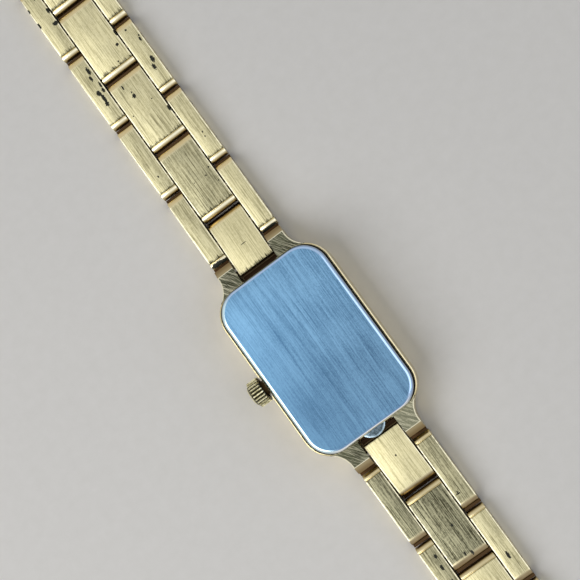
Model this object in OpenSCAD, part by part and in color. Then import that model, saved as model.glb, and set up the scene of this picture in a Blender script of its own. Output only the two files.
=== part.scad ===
// Dress watch: a rectangular case with a pressed-in back, on a three-row link bracelet.
// It lies dial down: the crystal's outer face is z = 0, +Z points out of the back,
// +Y points to 12 o'clock and the crown is on the -X side. Lengths are millimetres.

/* [Case] */
// Width of the case, without the crown
case_w = 16.6; // [16:0.1:19]
// Length of the case between its two end walls
case_l = 25; // [24.6:0.1:29]
// Height of the case from the bezel to the seat of the back
case_h = 4.5; // [4.5:0.1:5.5]
// Radius of the case corners in plan
case_corner_r = 3.8; // [3.4:0.1:4.4]
// Thickness of the case side walls
side_wall = 1.1; // [1.05:0.05:1.4]
// Thickness of the case end walls
end_wall = 1.2; // [1.1:0.05:1.5]
// Roundness of the bezel edge
bezel_round = 0.9; // [0.5:0.05:1.1]
// Roundness of the edge round the back
back_round = 0.25; // [0.15:0.05:0.4]
// How far the crystal stands in front of the bezel
crystal_proud = 0.1; // [0.05:0.05:0.3]

/* [Lugs] */
// Distance from the end wall to the spring bar
lug_pin_reach = 1.95; // [1.8:0.05:2.4]
// Height of the spring bars above the table
lug_pin_z = 2.4; // [2.2:0.05:2.8]
// Height of the backs of the lugs above the table, beside the bevel
lug_back_z = 3.7; // [3.4:0.05:4]
// Radius of the concave flare from the case corner to the lug
lug_flare_r = 3.2; // [2:0.1:3.8]
// Length of the bevel at the tip of a lug
lug_bevel_l = 0.9; // [0.5:0.05:1.1]
// Drop of the bevel at the tip of a lug
lug_bevel_drop = 0.65; // [0.4:0.05:0.8]
// Radius of the curved front of the lugs, seen from the side
lug_front_r = 14; // [12:0.5:20]

/* [Back and crystal] */
// Width of the case shoulder beside the back
back_side_margin = 0.45; // [0.3:0.05:0.7]
// Width of the case shoulder at the ends of the back
back_end_margin = 0.2; // [0.15:0.05:0.4]
// Thickness of the back, rim included
back_h = 1.1; // [0.95:0.05:1.4]
// Width of the polished bevel round the back
back_bevel = 0.55; // [0.3:0.05:0.7]
// Radius of the opening lip at 6 o'clock
lip_r = 1.9; // [1.5:0.05:2.1]
// How far the opening lip stands out past the back
lip_out = 0.95; // [0.6:0.05:1.1]
// Thickness of the opening lip
lip_t = 0.4; // [0.3:0.05:0.5]
// Width of the bezel beside the crystal
bezel_side = 1.5; // [1.4:0.05:2]
// Width of the bezel at the ends of the crystal
bezel_end = 1.6; // [1.5:0.05:2.2]
// Thickness of the crystal
crystal_t = 1.05; // [0.8:0.05:1.2]
// Width of the ledge that the crystal rests on
crystal_ledge = 0.55; // [0.4:0.05:0.7]
// Thickness of the crystal gasket
crystal_gasket_t = 0.3; // [0.25:0.05:0.4]

/* [Dial and hands] */
// Thickness of the dial
dial_t = 0.35; // [0.3:0.05:0.5]
// Space between the crystal and the dial
hand_space = 1.05; // [1:0.05:1.4]
// Length of the hour hand
hour_hand_l = 4.1; // [3:0.1:4.6]
// Length of the minute hand
minute_hand_l = 5.7; // [5:0.1:5.9]
// Thickness of each hand
hand_t = 0.15; // [0.12:0.01:0.18]
// Length of an hour marker
marker_l = 1.7; // [1:0.1:2]

/* [Bracelet] */
// Width of the centre links
centre_w = 5.2; // [4.5:0.1:6]
// Width of each side link
side_w = 2.4; // [2:0.1:2.8]
// Gap between two rows of links
row_gap = 0.2; // [0.1:0.01:0.3]
// Thickness of the links
link_t = 1.9; // [1.7:0.05:2.2]
// Length of one link with the gap behind it
link_pitch = 11.4; // [10:0.1:12]
// Gap between two links of one row
link_gap = 0.5; // [0.4:0.05:0.6]
// Distance from the spring bar to the first link pin
first_span = 4.45; // [4.3:0.05:5]
// How far the first centre link reaches inwards past its spring bar
first_inner = 1.25; // [0.9:0.05:1.3]
// Radius of the rolled bar at the inner end of a link
bar_r = 0.82; // [0.7:0.02:0.84]
// How much of the rolled bar shows beside the brushed face
bar_show = 0.85; // [0.7:0.05:1]
// Length of the bevel at the outer end of a link
end_bevel_l = 0.7; // [0.4:0.05:0.9]
// Drop of the bevel at the outer end of a link
end_bevel_drop = 0.35; // [0.2:0.05:0.5]
// Chamfer along the long edges of a link
edge_chamfer = 0.1; // [0.06:0.02:0.16]
// Radius of the link pins
pin_r = 0.42; // [0.35:0.01:0.45]

/* [Crown] */
// Radius of the crown
crown_r = 1.8; // [1.7:0.01:1.9]
// Length of the crown along its axis
crown_l = 1.95; // [1.8:0.05:2.4]
// Number of flutes round the crown
crown_flutes = 24; // [18:1:26]
// Height of the crown's axis above the table
crown_z = 3.3; // [3.2:0.02:3.4]
// Gap between the crown and the case side
crown_gap = 0.3; // [0.2:0.05:0.4]
// Depth of the hollow in the case side that the crown nests in
crown_nest = 0.25; // [0.1:0.05:0.4]
// How far the crown pulls out to set the hands
crown_pull = 0.8; // [0.5:0.05:1]

/* [Movement] */
// Width of the movement
movement_w = 12.8; // [12.6:0.1:13.2]
// Length of the movement
movement_l = 17.6; // [17.5:0.1:18.4]
// Thickness of the main plate
plate_t = 1.1; // [1.05:0.05:1.2]
// Radius of the battery
battery_r = 3.4; // [3.1:0.05:3.4]
// Thickness of the battery
battery_t = 2.15; // [1.6:0.05:2.15]
// Module of the centre wheel's teeth
centre_module = 0.07; // [0.066:0.001:0.072]
// Module of the intermediate wheel's teeth
inner_module = 0.055; // [0.05:0.001:0.057]
// Module of the teeth under the dial
dial_module = 0.1; // [0.09:0.002:0.102]

/* [Clasp] */
// Length of the clasp from its link pin to its catch end
clasp_l = 23; // [18:0.5:28]
// Thickness of the clasp's sheet metal
clasp_sheet = 0.45; // [0.35:0.05:0.5]
// Thickness of the wire of the end loop
loop_wire = 0.9; // [0.7:0.05:1]

/* [Hidden] */
$fn = 48;
running = 0.04;
snug = 0.01;
side_play = 0.05;
eps = 0.01;
pairs = 5;

// Levels, from the crystal on the table up to the back
bezel_z = crystal_proud;
back_z = bezel_z + case_h;
dial_z = crystal_t + hand_space;
plate_z = dial_z + dial_t;
train_z = plate_z + plate_t;
bridge_gap = 0.75;
bridge_z = train_z + bridge_gap;
bridge_t = 0.25;
top_z = back_z + back_h;
back_skin = 0.62;

// Plan of the case
cavity_w = case_w - 2 * side_wall;
cavity_l = case_l - 2 * end_wall;
cavity_r = 2.3;
back_w = case_w - 2 * back_side_margin;
back_l = case_l - 2 * back_end_margin;
back_r = case_corner_r - back_end_margin;
crystal_w = case_w - 2 * bezel_side;
crystal_l = case_l - 2 * bezel_end;
window_w = crystal_w - 2 * crystal_ledge;
window_l = crystal_l - 2 * crystal_ledge;
window_r = 1.4;
crystal_r = window_r + crystal_ledge;
gasket_step = 0.35;
skirt_t = 0.5;
skirt_l = 0.6;

// Bracelet, measured from the pin at the inner end of a link
half_t = link_t / 2;
half_pitch = link_pitch / 2;
link_end = (half_pitch - link_gap) / 2;
under_bevel = 0.3;
strand_w = centre_w + 2 * (row_gap + side_w);
side_x = centre_w / 2 + row_gap;
lug_x = centre_w / 2 + row_gap;
lug_pin_y = case_l / 2 + lug_pin_reach;
lug_tip_y = lug_pin_y + first_span - link_end - link_gap;
bar_bore_r = 0.6;
seam_w = 0.12;
seam_d = 0.34;

// Droop of each strand: every link rests on the lower corner of its outer end.
function span(k) = k == 0 ? first_span : half_pitch;
function tilt(k) =
    let (reach = span(k) + link_end - under_bevel)
    let (drop = asin(pin_z(k) / norm([reach, half_t])) - atan2(half_t, reach))
    max(0, drop);
function pin_z(k) = k == 0 ? lug_pin_z : pin_z(k - 1) - span(k - 1) * sin(tilt(k - 1));
function pin_y(k) = k == 0 ? lug_pin_y : pin_y(k - 1) + span(k - 1) * cos(tilt(k - 1));

// Crown, along its own axis from the case side outwards
crown_x = case_w / 2 + crown_gap;
tube_r = 1.0;
stem_r = 0.45;
tube_out = 0.85;
crown_recess_r = 1.3;
crown_recess_l = 1.05;
stem_reach = 2.1;
stem_in_x = movement_w / 2 - stem_reach;
crown_gasket_l = 0.35;

// Movement layout, from the centre of the hands
movement_y = -0.9;
movement_r = 1.6;
movement_top = movement_y + movement_l / 2;
movement_bottom = movement_y - movement_l / 2;
battery_wall = 0.55;
battery_at = [0.9, movement_bottom + battery_r + battery_wall];
centre_teeth = 54;
leaf_teeth = 6;
inner_teeth = 60;
cannon_teeth = 10;
minute_teeth = 30;
hour_teeth = 32;
minute_leaves = 8;
inner_angle = 60;
rotor_angle = 75;
minute_angle = 20;
inner_reach = (centre_teeth + leaf_teeth) / 2 * centre_module;
rotor_reach = (inner_teeth + leaf_teeth) / 2 * inner_module;
minute_reach = (cannon_teeth + minute_teeth) / 2 * dial_module;
inner_at = inner_reach * [cos(inner_angle), sin(inner_angle)];
rotor_at = inner_at + rotor_reach * [cos(rotor_angle), sin(rotor_angle)];
minute_at = minute_reach * [cos(minute_angle), sin(minute_angle)];
coil_r = 0.65;
coil_y = movement_top - coil_r - 0.1;
arm_r = 0.4;
arm_drop = 1.4;
elbow_drop = 1.75;
post_r = 0.55;
post_gap = 0.05;
posts = [[-2.0, -2.0], [4.1, 1.9], [-0.6, coil_y - elbow_drop - arm_r - post_r - post_gap]];
clamp_post = [-4.7, -5.4];
screw_r = 0.25;
screw_head_r = 0.45;
screw_head_t = 0.22;
screw_l = 0.8;
slot_w = 0.12;
coil_x = [-3.3, 3.8];
core_x = [-4.4, 4.8];
stator_t = 0.35;
stator_z = train_z + 0.03;
rotor_r = 0.6;
arbor_r = 0.13;
cannon_r = 0.5;
hand_arbor_r = 0.35;
hour_tube_r = 0.82;
dial_hole_r = 0.95;
pocket_h = 0.6;
wheel_t = 0.18;
centre_wheel_z = train_z + 0.12;
inner_wheel_z = train_z + 0.43;
hour_wheel_z = plate_z + 0.07;
minute_wheel_z = plate_z + 0.32;
clamp_z = plate_z + battery_t + 0.1;
clamp_t = 0.15;
minute_hand_z = crystal_t + 0.2;
hour_hand_z = minute_hand_z + hand_t + 0.2;

// Clasp, from the last link pin outwards
clasp_w = strand_w - 0.1;
clasp_hinge_y = 5.2;
clasp_pin_r = 0.4;
clasp_knuckle_r = 0.75;
knuckle_gap = 1;
lid_start = clasp_hinge_y - 0.95;
loop_l = 5;
loop_w = 6.6;
loop_start = link_end + 0.3;

gold = [0.83, 0.68, 0.38];
steel = [0.66, 0.7, 0.75];
brass_tone = [0.78, 0.62, 0.3];

// Shapes that repeat

// Plan of a plate with round corners.
module round_plan(w, l, r) {
    square([w - 2 * r, l], center = true);
    square([w, l - 2 * r], center = true);
    for (x = [-1, 1], y = [-1, 1]) {
        translate([x * (w / 2 - r), y * (l / 2 - r)]) circle(r);
    }
}

module round_plate(w, l, r, z, t) {
    translate([0, 0, z]) linear_extrude(t) round_plan(w, l, r);
}

// Round-cornered ring between two plans that share their corner centres.
module round_ring(w, l, r, wall, z, t) {
    difference() {
        round_plate(w, l, r, z, t);
        round_plate(w - 2 * wall, l - 2 * wall, r - wall, z - eps, t + 2 * eps);
    }
}

// Solid swept round a round-cornered plan. The child is the wall's profile:
// its x runs outwards from the corner centre and its y is the height.
module swept_block(w, l, r, z, t) {
    cx = w / 2 - r;
    cy = l / 2 - r;
    translate([-cx, -cy, z]) cube([2 * cx, 2 * cy, t]);
    for (turn = [0, 180]) rotate([0, 0, turn]) {
        translate([cx, cy, 0]) rotate_extrude(angle = 90) children();
        translate([cx, -cy, 0]) rotate([0, 0, -90]) rotate_extrude(angle = 90) children();
        translate([cx, cy, 0]) rotate([90, 0, 0]) linear_extrude(2 * cy) children();
        translate([-cx, cy, 0]) rotate([90, 0, 90]) linear_extrude(2 * cx) children();
    }
}

module bar_between(a, b, r) {
    for (p = [a, b]) translate(p) circle(r);
    translate(a) rotate([0, 0, atan2(b.y - a.y, b.x - a.x)])
        translate([0, -r]) square([norm(b - a), 2 * r]);
}

module along_x(w) {
    rotate([90, 0, 90]) linear_extrude(w, center = true) children();
}

module pin_x(r, w) {
    rotate([0, 90, 0]) cylinder(r = r, h = w, center = true);
}

// Gear with straight-sided teeth, the first tooth centred on the +X axis.
function tooth(n, root, tip, k) =
    let (step = 360 / n)
    let (a = k * step)
    [for (c = [[root, -0.27], [tip, -0.12], [tip, 0.12], [root, 0.27]])
        c.x * [cos(a + c.y * step), sin(a + c.y * step)]];

module gear(n, m, z, t, turn) {
    root = m * (n / 2 - 1.1);
    tip = m * (n / 2 + 0.75);
    points = [for (k = [0:n - 1]) each tooth(n, root, tip, k)];
    translate([0, 0, z]) rotate([0, 0, turn]) linear_extrude(t) polygon(points);
}

// Turn that lets a gear's gap face the tooth of its neighbour at a bearing.
function facing_gap(n, bearing) = bearing + 180 + 180 / n;

module shaft(at, r, z0, z1) {
    translate([at.x, at.y, z0]) cylinder(r = r, h = z1 - z0);
}

module cut_round(at, r, z0, z1) {
    translate([at.x, at.y, z0 - eps]) cylinder(r = r, h = z1 - z0 + 2 * eps);
}

// Both ends of the case, or both sides of the bracelet.
module both_ends() {
    children();
    mirror([0, 1, 0]) children();
}

module both_sides() {
    children();
    mirror([1, 0, 0]) children();
}

// Case

module case_profile() {
    square([case_corner_r - bezel_round, case_h]);
    translate([0, bezel_round]) square([case_corner_r, case_h - bezel_round - back_round]);
    square([case_corner_r - back_round, case_h - bezel_round]);
    translate([case_corner_r - bezel_round, bezel_round]) circle(bezel_round);
    translate([0, case_h - back_round - eps]) square([case_corner_r - back_round, back_round + eps]);
    translate([case_corner_r - back_round, case_h - back_round]) circle(back_round);
}

module lug_plan() {
    corner = [case_w / 2 - case_corner_r, case_l / 2 - case_corner_r];
    flare_x = strand_w / 2 + lug_flare_r;
    reach = case_corner_r + lug_flare_r;
    flare_y = corner.y + sqrt(pow(reach, 2) - pow(flare_x - corner.x, 2));
    inner_flare = 1.1;
    translate([lug_x, corner.y]) square([strand_w / 2 - lug_x, lug_tip_y - corner.y]);
    difference() {
        polygon([corner, [flare_x, flare_y], [lug_x + inner_flare, flare_y], [lug_x, corner.y]]);
        translate([flare_x, flare_y]) circle(lug_flare_r);
    }
}

module lug_profile() {
    front_back = 2.8;
    front_step = 0.25;
    shoulder_drop = 0.05;
    root_y = case_l / 2 - case_corner_r;
    front_z = bezel_z + front_step;
    intersection() {
        polygon([
            [root_y, back_z],
            [case_l / 2 - back_end_margin, back_z - shoulder_drop],
            [lug_tip_y - lug_bevel_l, lug_back_z],
            [lug_tip_y, lug_back_z - lug_bevel_drop],
            [lug_tip_y, front_z],
            [root_y, front_z]]);
        translate([case_l / 2 - front_back, front_z + lug_front_r])
            circle(lug_front_r, $fn = 96);
    }
}

module lugs() {
    both_ends() both_sides() intersection() {
        linear_extrude(back_z) lug_plan();
        translate([strand_w / 2, 0, 0]) along_x(strand_w) lug_profile();
    }
}

module case_body() {
    hole_depth = 1.1;
    color(gold) difference() {
        union() {
            swept_block(case_w, case_l, case_corner_r, bezel_z, case_h)
                translate([0, bezel_z]) case_profile();
            lugs();
        }
        round_plate(crystal_w + 2 * crystal_gasket_t, crystal_l + 2 * crystal_gasket_t,
            crystal_r + crystal_gasket_t, -eps, crystal_t + eps);
        round_plate(window_w, window_l, window_r, 0, dial_z + eps);
        round_plate(cavity_w, cavity_l, cavity_r, dial_z, back_z);
        round_plate(cavity_w + 2 * gasket_step, cavity_l + 2 * gasket_step,
            cavity_r + gasket_step, back_z - gasket_step, gasket_step + eps);
        translate([-case_w / 2, 0, crown_z]) {
            pin_x(tube_r + snug, 2 * side_wall + 2 * eps);
            pin_x(crown_r + 0.12, 2 * crown_nest);
        }
        both_ends() translate([0, lug_pin_y, lug_pin_z])
            pin_x(plunger_r + running, 2 * (lug_x + hole_depth));
    }
}

module back_profile() {
    rim_t = 0.4;
    polygon([
        [0, back_z],
        [back_r, back_z],
        [back_r, back_z + rim_t],
        [back_r - back_bevel, top_z],
        [0, top_z]]);
}

module back_cover() {
    skirt_w = cavity_w - 2 * side_play;
    skirt_len = cavity_l - 2 * side_play;
    skirt_r = cavity_r - side_play;
    lip_y = -back_l / 2 + lip_r - lip_out;
    color(steel) difference() {
        union() {
            swept_block(back_w, back_l, back_r, back_z, back_h) back_profile();
            round_plate(skirt_w, skirt_len, skirt_r, back_z - skirt_l, skirt_l + eps);
            translate([0, lip_y, back_z]) cylinder(r = lip_r, h = lip_t);
        }
        round_plate(skirt_w - 2 * skirt_t, skirt_len - 2 * skirt_t, skirt_r - skirt_t,
            back_z - skirt_l - eps, skirt_l + back_h - back_skin);
    }
}

module back_gasket() {
    color([0.1, 0.1, 0.1]) round_ring(cavity_w + 2 * gasket_step - 0.04,
        cavity_l + 2 * gasket_step - 0.04, cavity_r + gasket_step - 0.02,
        gasket_step - 0.04, back_z - gasket_step + snug, gasket_step - 0.03);
}

module crystal_profile() {
    bevel = 0.18;
    polygon([
        [0, 0],
        [crystal_r - bevel, 0],
        [crystal_r, bevel],
        [crystal_r, crystal_t],
        [0, crystal_t]]);
}

module crystal() {
    color([0.8, 0.88, 0.9, 0.4])
        swept_block(crystal_w, crystal_l, crystal_r, 0, crystal_t) crystal_profile();
}

module crystal_gasket() {
    color([0.85, 0.85, 0.8]) round_ring(crystal_w + 2 * crystal_gasket_t - 0.02,
        crystal_l + 2 * crystal_gasket_t - 0.02, crystal_r + crystal_gasket_t - 0.01,
        crystal_gasket_t - 0.02, bezel_z + 0.1, crystal_t - bezel_z - 0.11);
}

// Dial and hands

foot_r = 0.3;
foot_edge = 0.8;
foot_x = movement_w / 2 - foot_edge;
dial_feet = [[-foot_x, movement_top - foot_edge], [foot_x, movement_bottom + foot_edge]];

module dial() {
    color([0.93, 0.91, 0.85]) difference() {
        union() {
            round_plate(cavity_w - 2 * side_play, cavity_l - 2 * side_play,
                cavity_r - side_play, dial_z, dial_t);
            for (p = dial_feet) shaft(p, foot_r, plate_z - eps, plate_z + 0.8);
        }
        cut_round([0, 0], dial_hole_r, dial_z, plate_z);
    }
}

// One baton at each hour, on a track that follows the window.
module dial_markers() {
    marker_t = 0.12;
    half_w = window_w / 2 - 0.7;
    half_l = window_l / 2 - 0.8;
    color(gold) for (hour = [0:11]) {
        a = 30 * hour;
        reach = min(half_w / max(abs(sin(a)), eps), half_l / max(abs(cos(a)), eps));
        wide = hour % 3 == 0 ? 0.5 : 0.34;
        rotate([0, 0, a]) translate([-wide / 2, reach - marker_l, dial_z - marker_t])
            cube([wide, marker_l, marker_t]);
    }
}

module hand(l, hub, w, z, hole) {
    tip = 0.12;
    tail = l * 0.22;
    color([0.2, 0.18, 0.15]) translate([0, 0, z]) difference() {
        union() {
            cylinder(r = hub, h = hand_t);
            linear_extrude(hand_t) polygon([[-w / 2, 0], [-tip / 2, l], [tip / 2, l],
                [w / 2, 0], [w / 3, -tail], [-w / 3, -tail]]);
        }
        cut_round([0, 0], hole, 0, hand_t);
    }
}

module hour_hand() {
    hand(hour_hand_l, hour_tube_r + 0.3, 0.85, hour_hand_z, hour_tube_r + snug);
}

module minute_hand() {
    hand(minute_hand_l, hand_arbor_r + 0.3, 0.6, minute_hand_z, hand_arbor_r + snug);
}

// Crown and stem

module crown_profile() {
    foot = 0.12;
    shoulder = 0.3;
    end_in = 0.7;
    polygon([
        [0, 0],
        [crown_r - foot, 0],
        [crown_r, foot],
        [crown_r, crown_l - shoulder - foot],
        [crown_r - shoulder, crown_l - shoulder],
        [crown_r - end_in + 0.15, crown_l - 0.05],
        [crown_r - end_in, crown_l],
        [0, crown_l]]);
}

module crown_place() {
    translate([-crown_x, 0, crown_z]) rotate([0, -90, 0]) children();
}

module crown() {
    flute_r = 0.16;
    color(gold) crown_place() difference() {
        rotate_extrude() crown_profile();
        translate([0, 0, -eps]) cylinder(r = crown_recess_r, h = crown_recess_l + eps);
        cylinder(r = stem_r + snug, h = crown_recess_l + 0.5);
        for (k = [1:crown_flutes]) rotate([0, 0, 360 * k / crown_flutes])
            translate([crown_r + 0.02, 0, -eps]) cylinder(r = flute_r, h = crown_l + 1);
    }
}

module stem() {
    groove_at = 1.6;
    stem_l = crown_x + crown_recess_l + 0.4 - stem_in_x;
    color(steel) translate([-stem_in_x, 0, crown_z]) rotate([0, -90, 0]) difference() {
        cylinder(r = stem_r, h = stem_l);
        translate([0, 0, groove_at]) difference() {
            cylinder(r = stem_r + eps, h = 0.45);
            cylinder(r = stem_r - 0.15, h = 0.45);
        }
    }
}

module crown_tube() {
    tube_l = side_wall + tube_out;
    color(brass_tone) translate([-case_w / 2 + side_wall, 0, crown_z]) rotate([0, -90, 0])
        difference() {
            cylinder(r = tube_r, h = tube_l);
            translate([0, 0, -eps]) cylinder(r = stem_r + running, h = tube_l + 2 * eps);
        }
}

module crown_gasket() {
    color([0.1, 0.1, 0.1]) crown_place() translate([0, 0, 0.12]) difference() {
        cylinder(r = crown_recess_r - 0.02, h = crown_gasket_l);
        translate([0, 0, -eps]) cylinder(r = tube_r + 0.02, h = crown_gasket_l + 2 * eps);
    }
}

// Movement

module movement_ring() {
    ring_h = back_z - skirt_l - 0.05 - plate_z;
    slot_r = stem_r + 0.15;
    color([0.92, 0.92, 0.9]) difference() {
        round_plate(cavity_w - 2 * side_play, cavity_l - 2 * side_play,
            cavity_r - side_play, plate_z, ring_h);
        translate([0, movement_y, 0]) round_plate(movement_w + 0.1, movement_l + 0.1,
            movement_r, plate_z - eps, ring_h + 2 * eps);
        translate([-(cavity_w + movement_w) / 4, 0, crown_z])
            pin_x(slot_r, cavity_w - movement_w);
    }
}

module main_plate() {
    web_z = plate_z + pocket_h;
    color(brass_tone) difference() {
        union() {
            translate([0, movement_y, 0])
                round_plate(movement_w, movement_l, movement_r - 0.05, plate_z, plate_t);
            for (p = posts) shaft(p, post_r, train_z - eps, bridge_z);
            shaft(clamp_post, post_r, train_z - eps, clamp_z - 0.02);
        }
        cut_round([0, 0], 2.3, plate_z, web_z - eps);
        cut_round(minute_at, dial_module * minute_teeth / 2 + 0.3, plate_z, web_z - eps);
        cut_round([0, 0], cannon_r + running, plate_z, train_z);
        cut_round(minute_at, arbor_r + running, web_z - eps, web_z + 0.3);
        cut_round(inner_at, arbor_r + running, train_z - 0.3, train_z);
        cut_round(rotor_at, arbor_r + running, train_z - 0.3, train_z);
        cut_round(battery_at, battery_r + 0.08, plate_z, train_z);
        for (p = dial_feet) cut_round(p, foot_r + running, plate_z, train_z);
        for (p = posts) cut_round(p, screw_r + snug, train_z - 0.4, bridge_z);
        cut_round(clamp_post, screw_r + snug, train_z - 0.4, clamp_z);
        translate([coil_x[0] - 0.1, coil_y - coil_r - 0.1, train_z - 0.4])
            cube([coil_x[1] - coil_x[0] + 0.2, 2 * coil_r + 0.2, 0.4 + eps]);
        translate([-movement_w / 2 - eps, -stem_r - running, crown_z - stem_r - 0.1])
            cube([stem_reach + eps + side_play, 2 * (stem_r + running), plate_t]);
    }
}

module train_bridge() {
    color([0.8, 0.8, 0.78]) difference() {
        translate([0, 0, bridge_z]) linear_extrude(bridge_t) {
            polygon(posts);
            bar_between(posts[0], posts[1], 0.75);
            bar_between(posts[1], posts[2], 0.75);
            bar_between(posts[2], posts[0], 0.75);
        }
        for (p = posts) cut_round(p, screw_r + 0.05, bridge_z, bridge_z + bridge_t);
        for (p = [[0, 0], inner_at, rotor_at])
            cut_round(p, arbor_r + running, bridge_z, bridge_z + bridge_t);
    }
}

module screw(at, z, l) {
    color(steel) difference() {
        union() {
            shaft(at, screw_head_r, z, z + screw_head_t);
            shaft(at, screw_r, z - l, z + eps);
        }
        translate([at.x - slot_w / 2, at.y - screw_head_r, z + screw_head_t - slot_w])
            cube([slot_w, 2 * screw_head_r, 2 * slot_w]);
    }
}

module movement_screws() {
    for (p = posts) screw(p, bridge_z + bridge_t, screw_l);
    screw(clamp_post, clamp_z + clamp_t, screw_l);
}

module circuit_block() {
    board_w = 3.7;
    board_t = 0.22;
    board_x = 0.3 - movement_w / 2;
    board_y = stem_r + 0.45;
    board_l = coil_y - arm_drop - arm_r - 0.25 - board_y;
    board_z = train_z + 0.02;
    chip_r = 0.6;
    chip_t = 0.35;
    can_r = 0.5;
    can_l = board_w - 0.3;
    on_board = board_z + board_t + snug;
    color([0.15, 0.4, 0.25]) translate([board_x, board_y, board_z])
        cube([board_w, board_l, board_t]);
    color([0.1, 0.1, 0.12])
        shaft([board_x + board_w / 2, board_y + 1.2 * chip_r], chip_r, on_board, on_board + chip_t);
    color(steel) translate([board_x + 0.1, board_y + board_l - 2.2 * can_r, on_board + can_r])
        rotate([0, 90, 0]) cylinder(r = can_r, h = can_l);
}

module coil() {
    core_t = 0.4;
    core_w = 0.5;
    core_z = stator_z + stator_t + snug;
    color([0.72, 0.4, 0.2]) difference() {
        translate([coil_x[0], coil_y, core_z + core_t / 2]) rotate([0, 90, 0])
            cylinder(r = coil_r, h = coil_x[1] - coil_x[0]);
        translate([core_x[0], coil_y - core_w / 2 - snug, core_z - snug])
            cube([core_x[1] - core_x[0], core_w + 2 * snug, core_t + 2 * snug]);
    }
    color(steel) translate([core_x[0], coil_y - core_w / 2, core_z])
        cube([core_x[1] - core_x[0], core_w, core_t]);
}

module stator() {
    left = [core_x[0] + arm_r, coil_y - arm_drop];
    right = [core_x[1] - arm_r, coil_y - arm_drop - 0.2];
    elbow = [rotor_at.x - 0.7, coil_y - elbow_drop];
    color([0.6, 0.62, 0.64]) difference() {
        translate([0, 0, stator_z]) linear_extrude(stator_t) {
            translate(rotor_at) circle(1.25);
            bar_between(rotor_at, elbow, arm_r);
            bar_between(elbow, left, arm_r);
            bar_between(left, [left.x, coil_y], arm_r);
            bar_between(rotor_at, right, arm_r);
            bar_between(right, [right.x, coil_y], arm_r);
        }
        cut_round(rotor_at, rotor_r + 0.15, stator_z, stator_z + stator_t);
    }
}

module rotor() {
    color([0.3, 0.3, 0.33]) {
        translate([rotor_at.x, rotor_at.y, 0])
            gear(leaf_teeth, inner_module, inner_wheel_z - 0.03, wheel_t + 0.06,
                facing_gap(leaf_teeth, rotor_angle));
        shaft(rotor_at, rotor_r, train_z + 0.06, train_z + 0.34);
        shaft(rotor_at, arbor_r, train_z - 0.25, bridge_z + 0.2);
    }
}

module intermediate_wheel() {
    translate([inner_at.x, inner_at.y, 0]) color(brass_tone) {
        gear(inner_teeth, inner_module, inner_wheel_z, wheel_t, rotor_angle);
        gear(leaf_teeth, centre_module, centre_wheel_z - 0.03, wheel_t + 0.2,
            facing_gap(leaf_teeth, inner_angle));
        shaft([0, 0], arbor_r, train_z - 0.25, bridge_z + 0.2);
    }
}

module centre_wheel() {
    color(brass_tone) {
        gear(centre_teeth, centre_module, centre_wheel_z, wheel_t, inner_angle);
        gear(cannon_teeth, dial_module, minute_wheel_z - 0.04, wheel_t + 0.08, minute_angle);
        shaft([0, 0], cannon_r - 0.12, hour_hand_z, plate_z + 0.3);
        shaft([0, 0], cannon_r, plate_z + pocket_h - 0.1, centre_wheel_z + eps);
        shaft([0, 0], hand_arbor_r, crystal_t + 0.1, plate_z);
        shaft([0, 0], arbor_r, centre_wheel_z, bridge_z + 0.2);
    }
}

module minute_wheel() {
    translate([minute_at.x, minute_at.y, 0]) color(brass_tone) {
        gear(minute_teeth, dial_module, minute_wheel_z, wheel_t,
            facing_gap(minute_teeth, minute_angle));
        gear(minute_leaves, dial_module, hour_wheel_z - 0.03, wheel_t + 0.1, minute_angle + 180);
        shaft([0, 0], arbor_r, hour_wheel_z - 0.03, plate_z + pocket_h + 0.25);
    }
}

module hour_wheel() {
    color(brass_tone) difference() {
        union() {
            gear(hour_teeth, dial_module, hour_wheel_z, wheel_t,
                facing_gap(hour_teeth, minute_angle + 180));
            shaft([0, 0], hour_tube_r, hour_hand_z - 0.05, hour_wheel_z + eps);
        }
        cut_round([0, 0], cannon_r - 0.12 + running, hour_hand_z - 0.05, hour_wheel_z + wheel_t);
    }
}

module battery() {
    rim = 0.5;
    step_t = 0.25;
    color(steel) {
        shaft(battery_at, battery_r - rim, plate_z + 0.03, plate_z + 0.03 + step_t + eps);
        shaft(battery_at, battery_r, plate_z + 0.03 + step_t, plate_z + battery_t);
    }
}

module battery_clamp() {
    clamp_r = 0.6;
    color([0.8, 0.75, 0.6]) difference() {
        translate([0, 0, clamp_z]) linear_extrude(clamp_t)
            bar_between(clamp_post, battery_at + [2 * clamp_r, 0], clamp_r);
        cut_round(clamp_post, screw_r + 0.05, clamp_z, clamp_z + clamp_t);
    }
}

// Bracelet

plunger_r = 0.33;
bar_tube_r = bar_bore_r - running;

// Tube of each spring bar with a plunger in each end that springs into the lug.
module spring_bar() {
    tube_l = centre_w - 0.1;
    plunger_in = 1.2;
    plunger_out = lug_x + 0.95;
    difference() {
        pin_x(bar_tube_r, tube_l);
        pin_x(plunger_r + snug, tube_l + 1);
    }
    both_sides() translate([(plunger_out + tube_l / 2 - plunger_in) / 2, 0, 0])
        pin_x(plunger_r, plunger_out - tube_l / 2 + plunger_in);
}

module spring_bars() {
    color(steel) both_ends() translate([0, lug_pin_y, lug_pin_z]) spring_bar();
}

// Side view of a link's slab, from its step beside the bar to its bevelled end.
module slab_profile(slab, outer) {
    polygon([
        [slab, half_t],
        [outer - end_bevel_l, half_t],
        [outer, half_t - end_bevel_drop],
        [outer, under_bevel - half_t],
        [outer - under_bevel, -half_t],
        [slab + under_bevel, -half_t],
        [slab, under_bevel - half_t]]);
}

// Straight profile of a link across its width, with its long edges chamfered.
module link_section(w) {
    c = edge_chamfer;
    x = w / 2;
    polygon([
        [c - x, -half_t], [x - c, -half_t], [x, c - half_t], [x, half_t - c],
        [x - c, half_t], [c - x, half_t], [-x, half_t - c], [-x, c - half_t]]);
}

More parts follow.
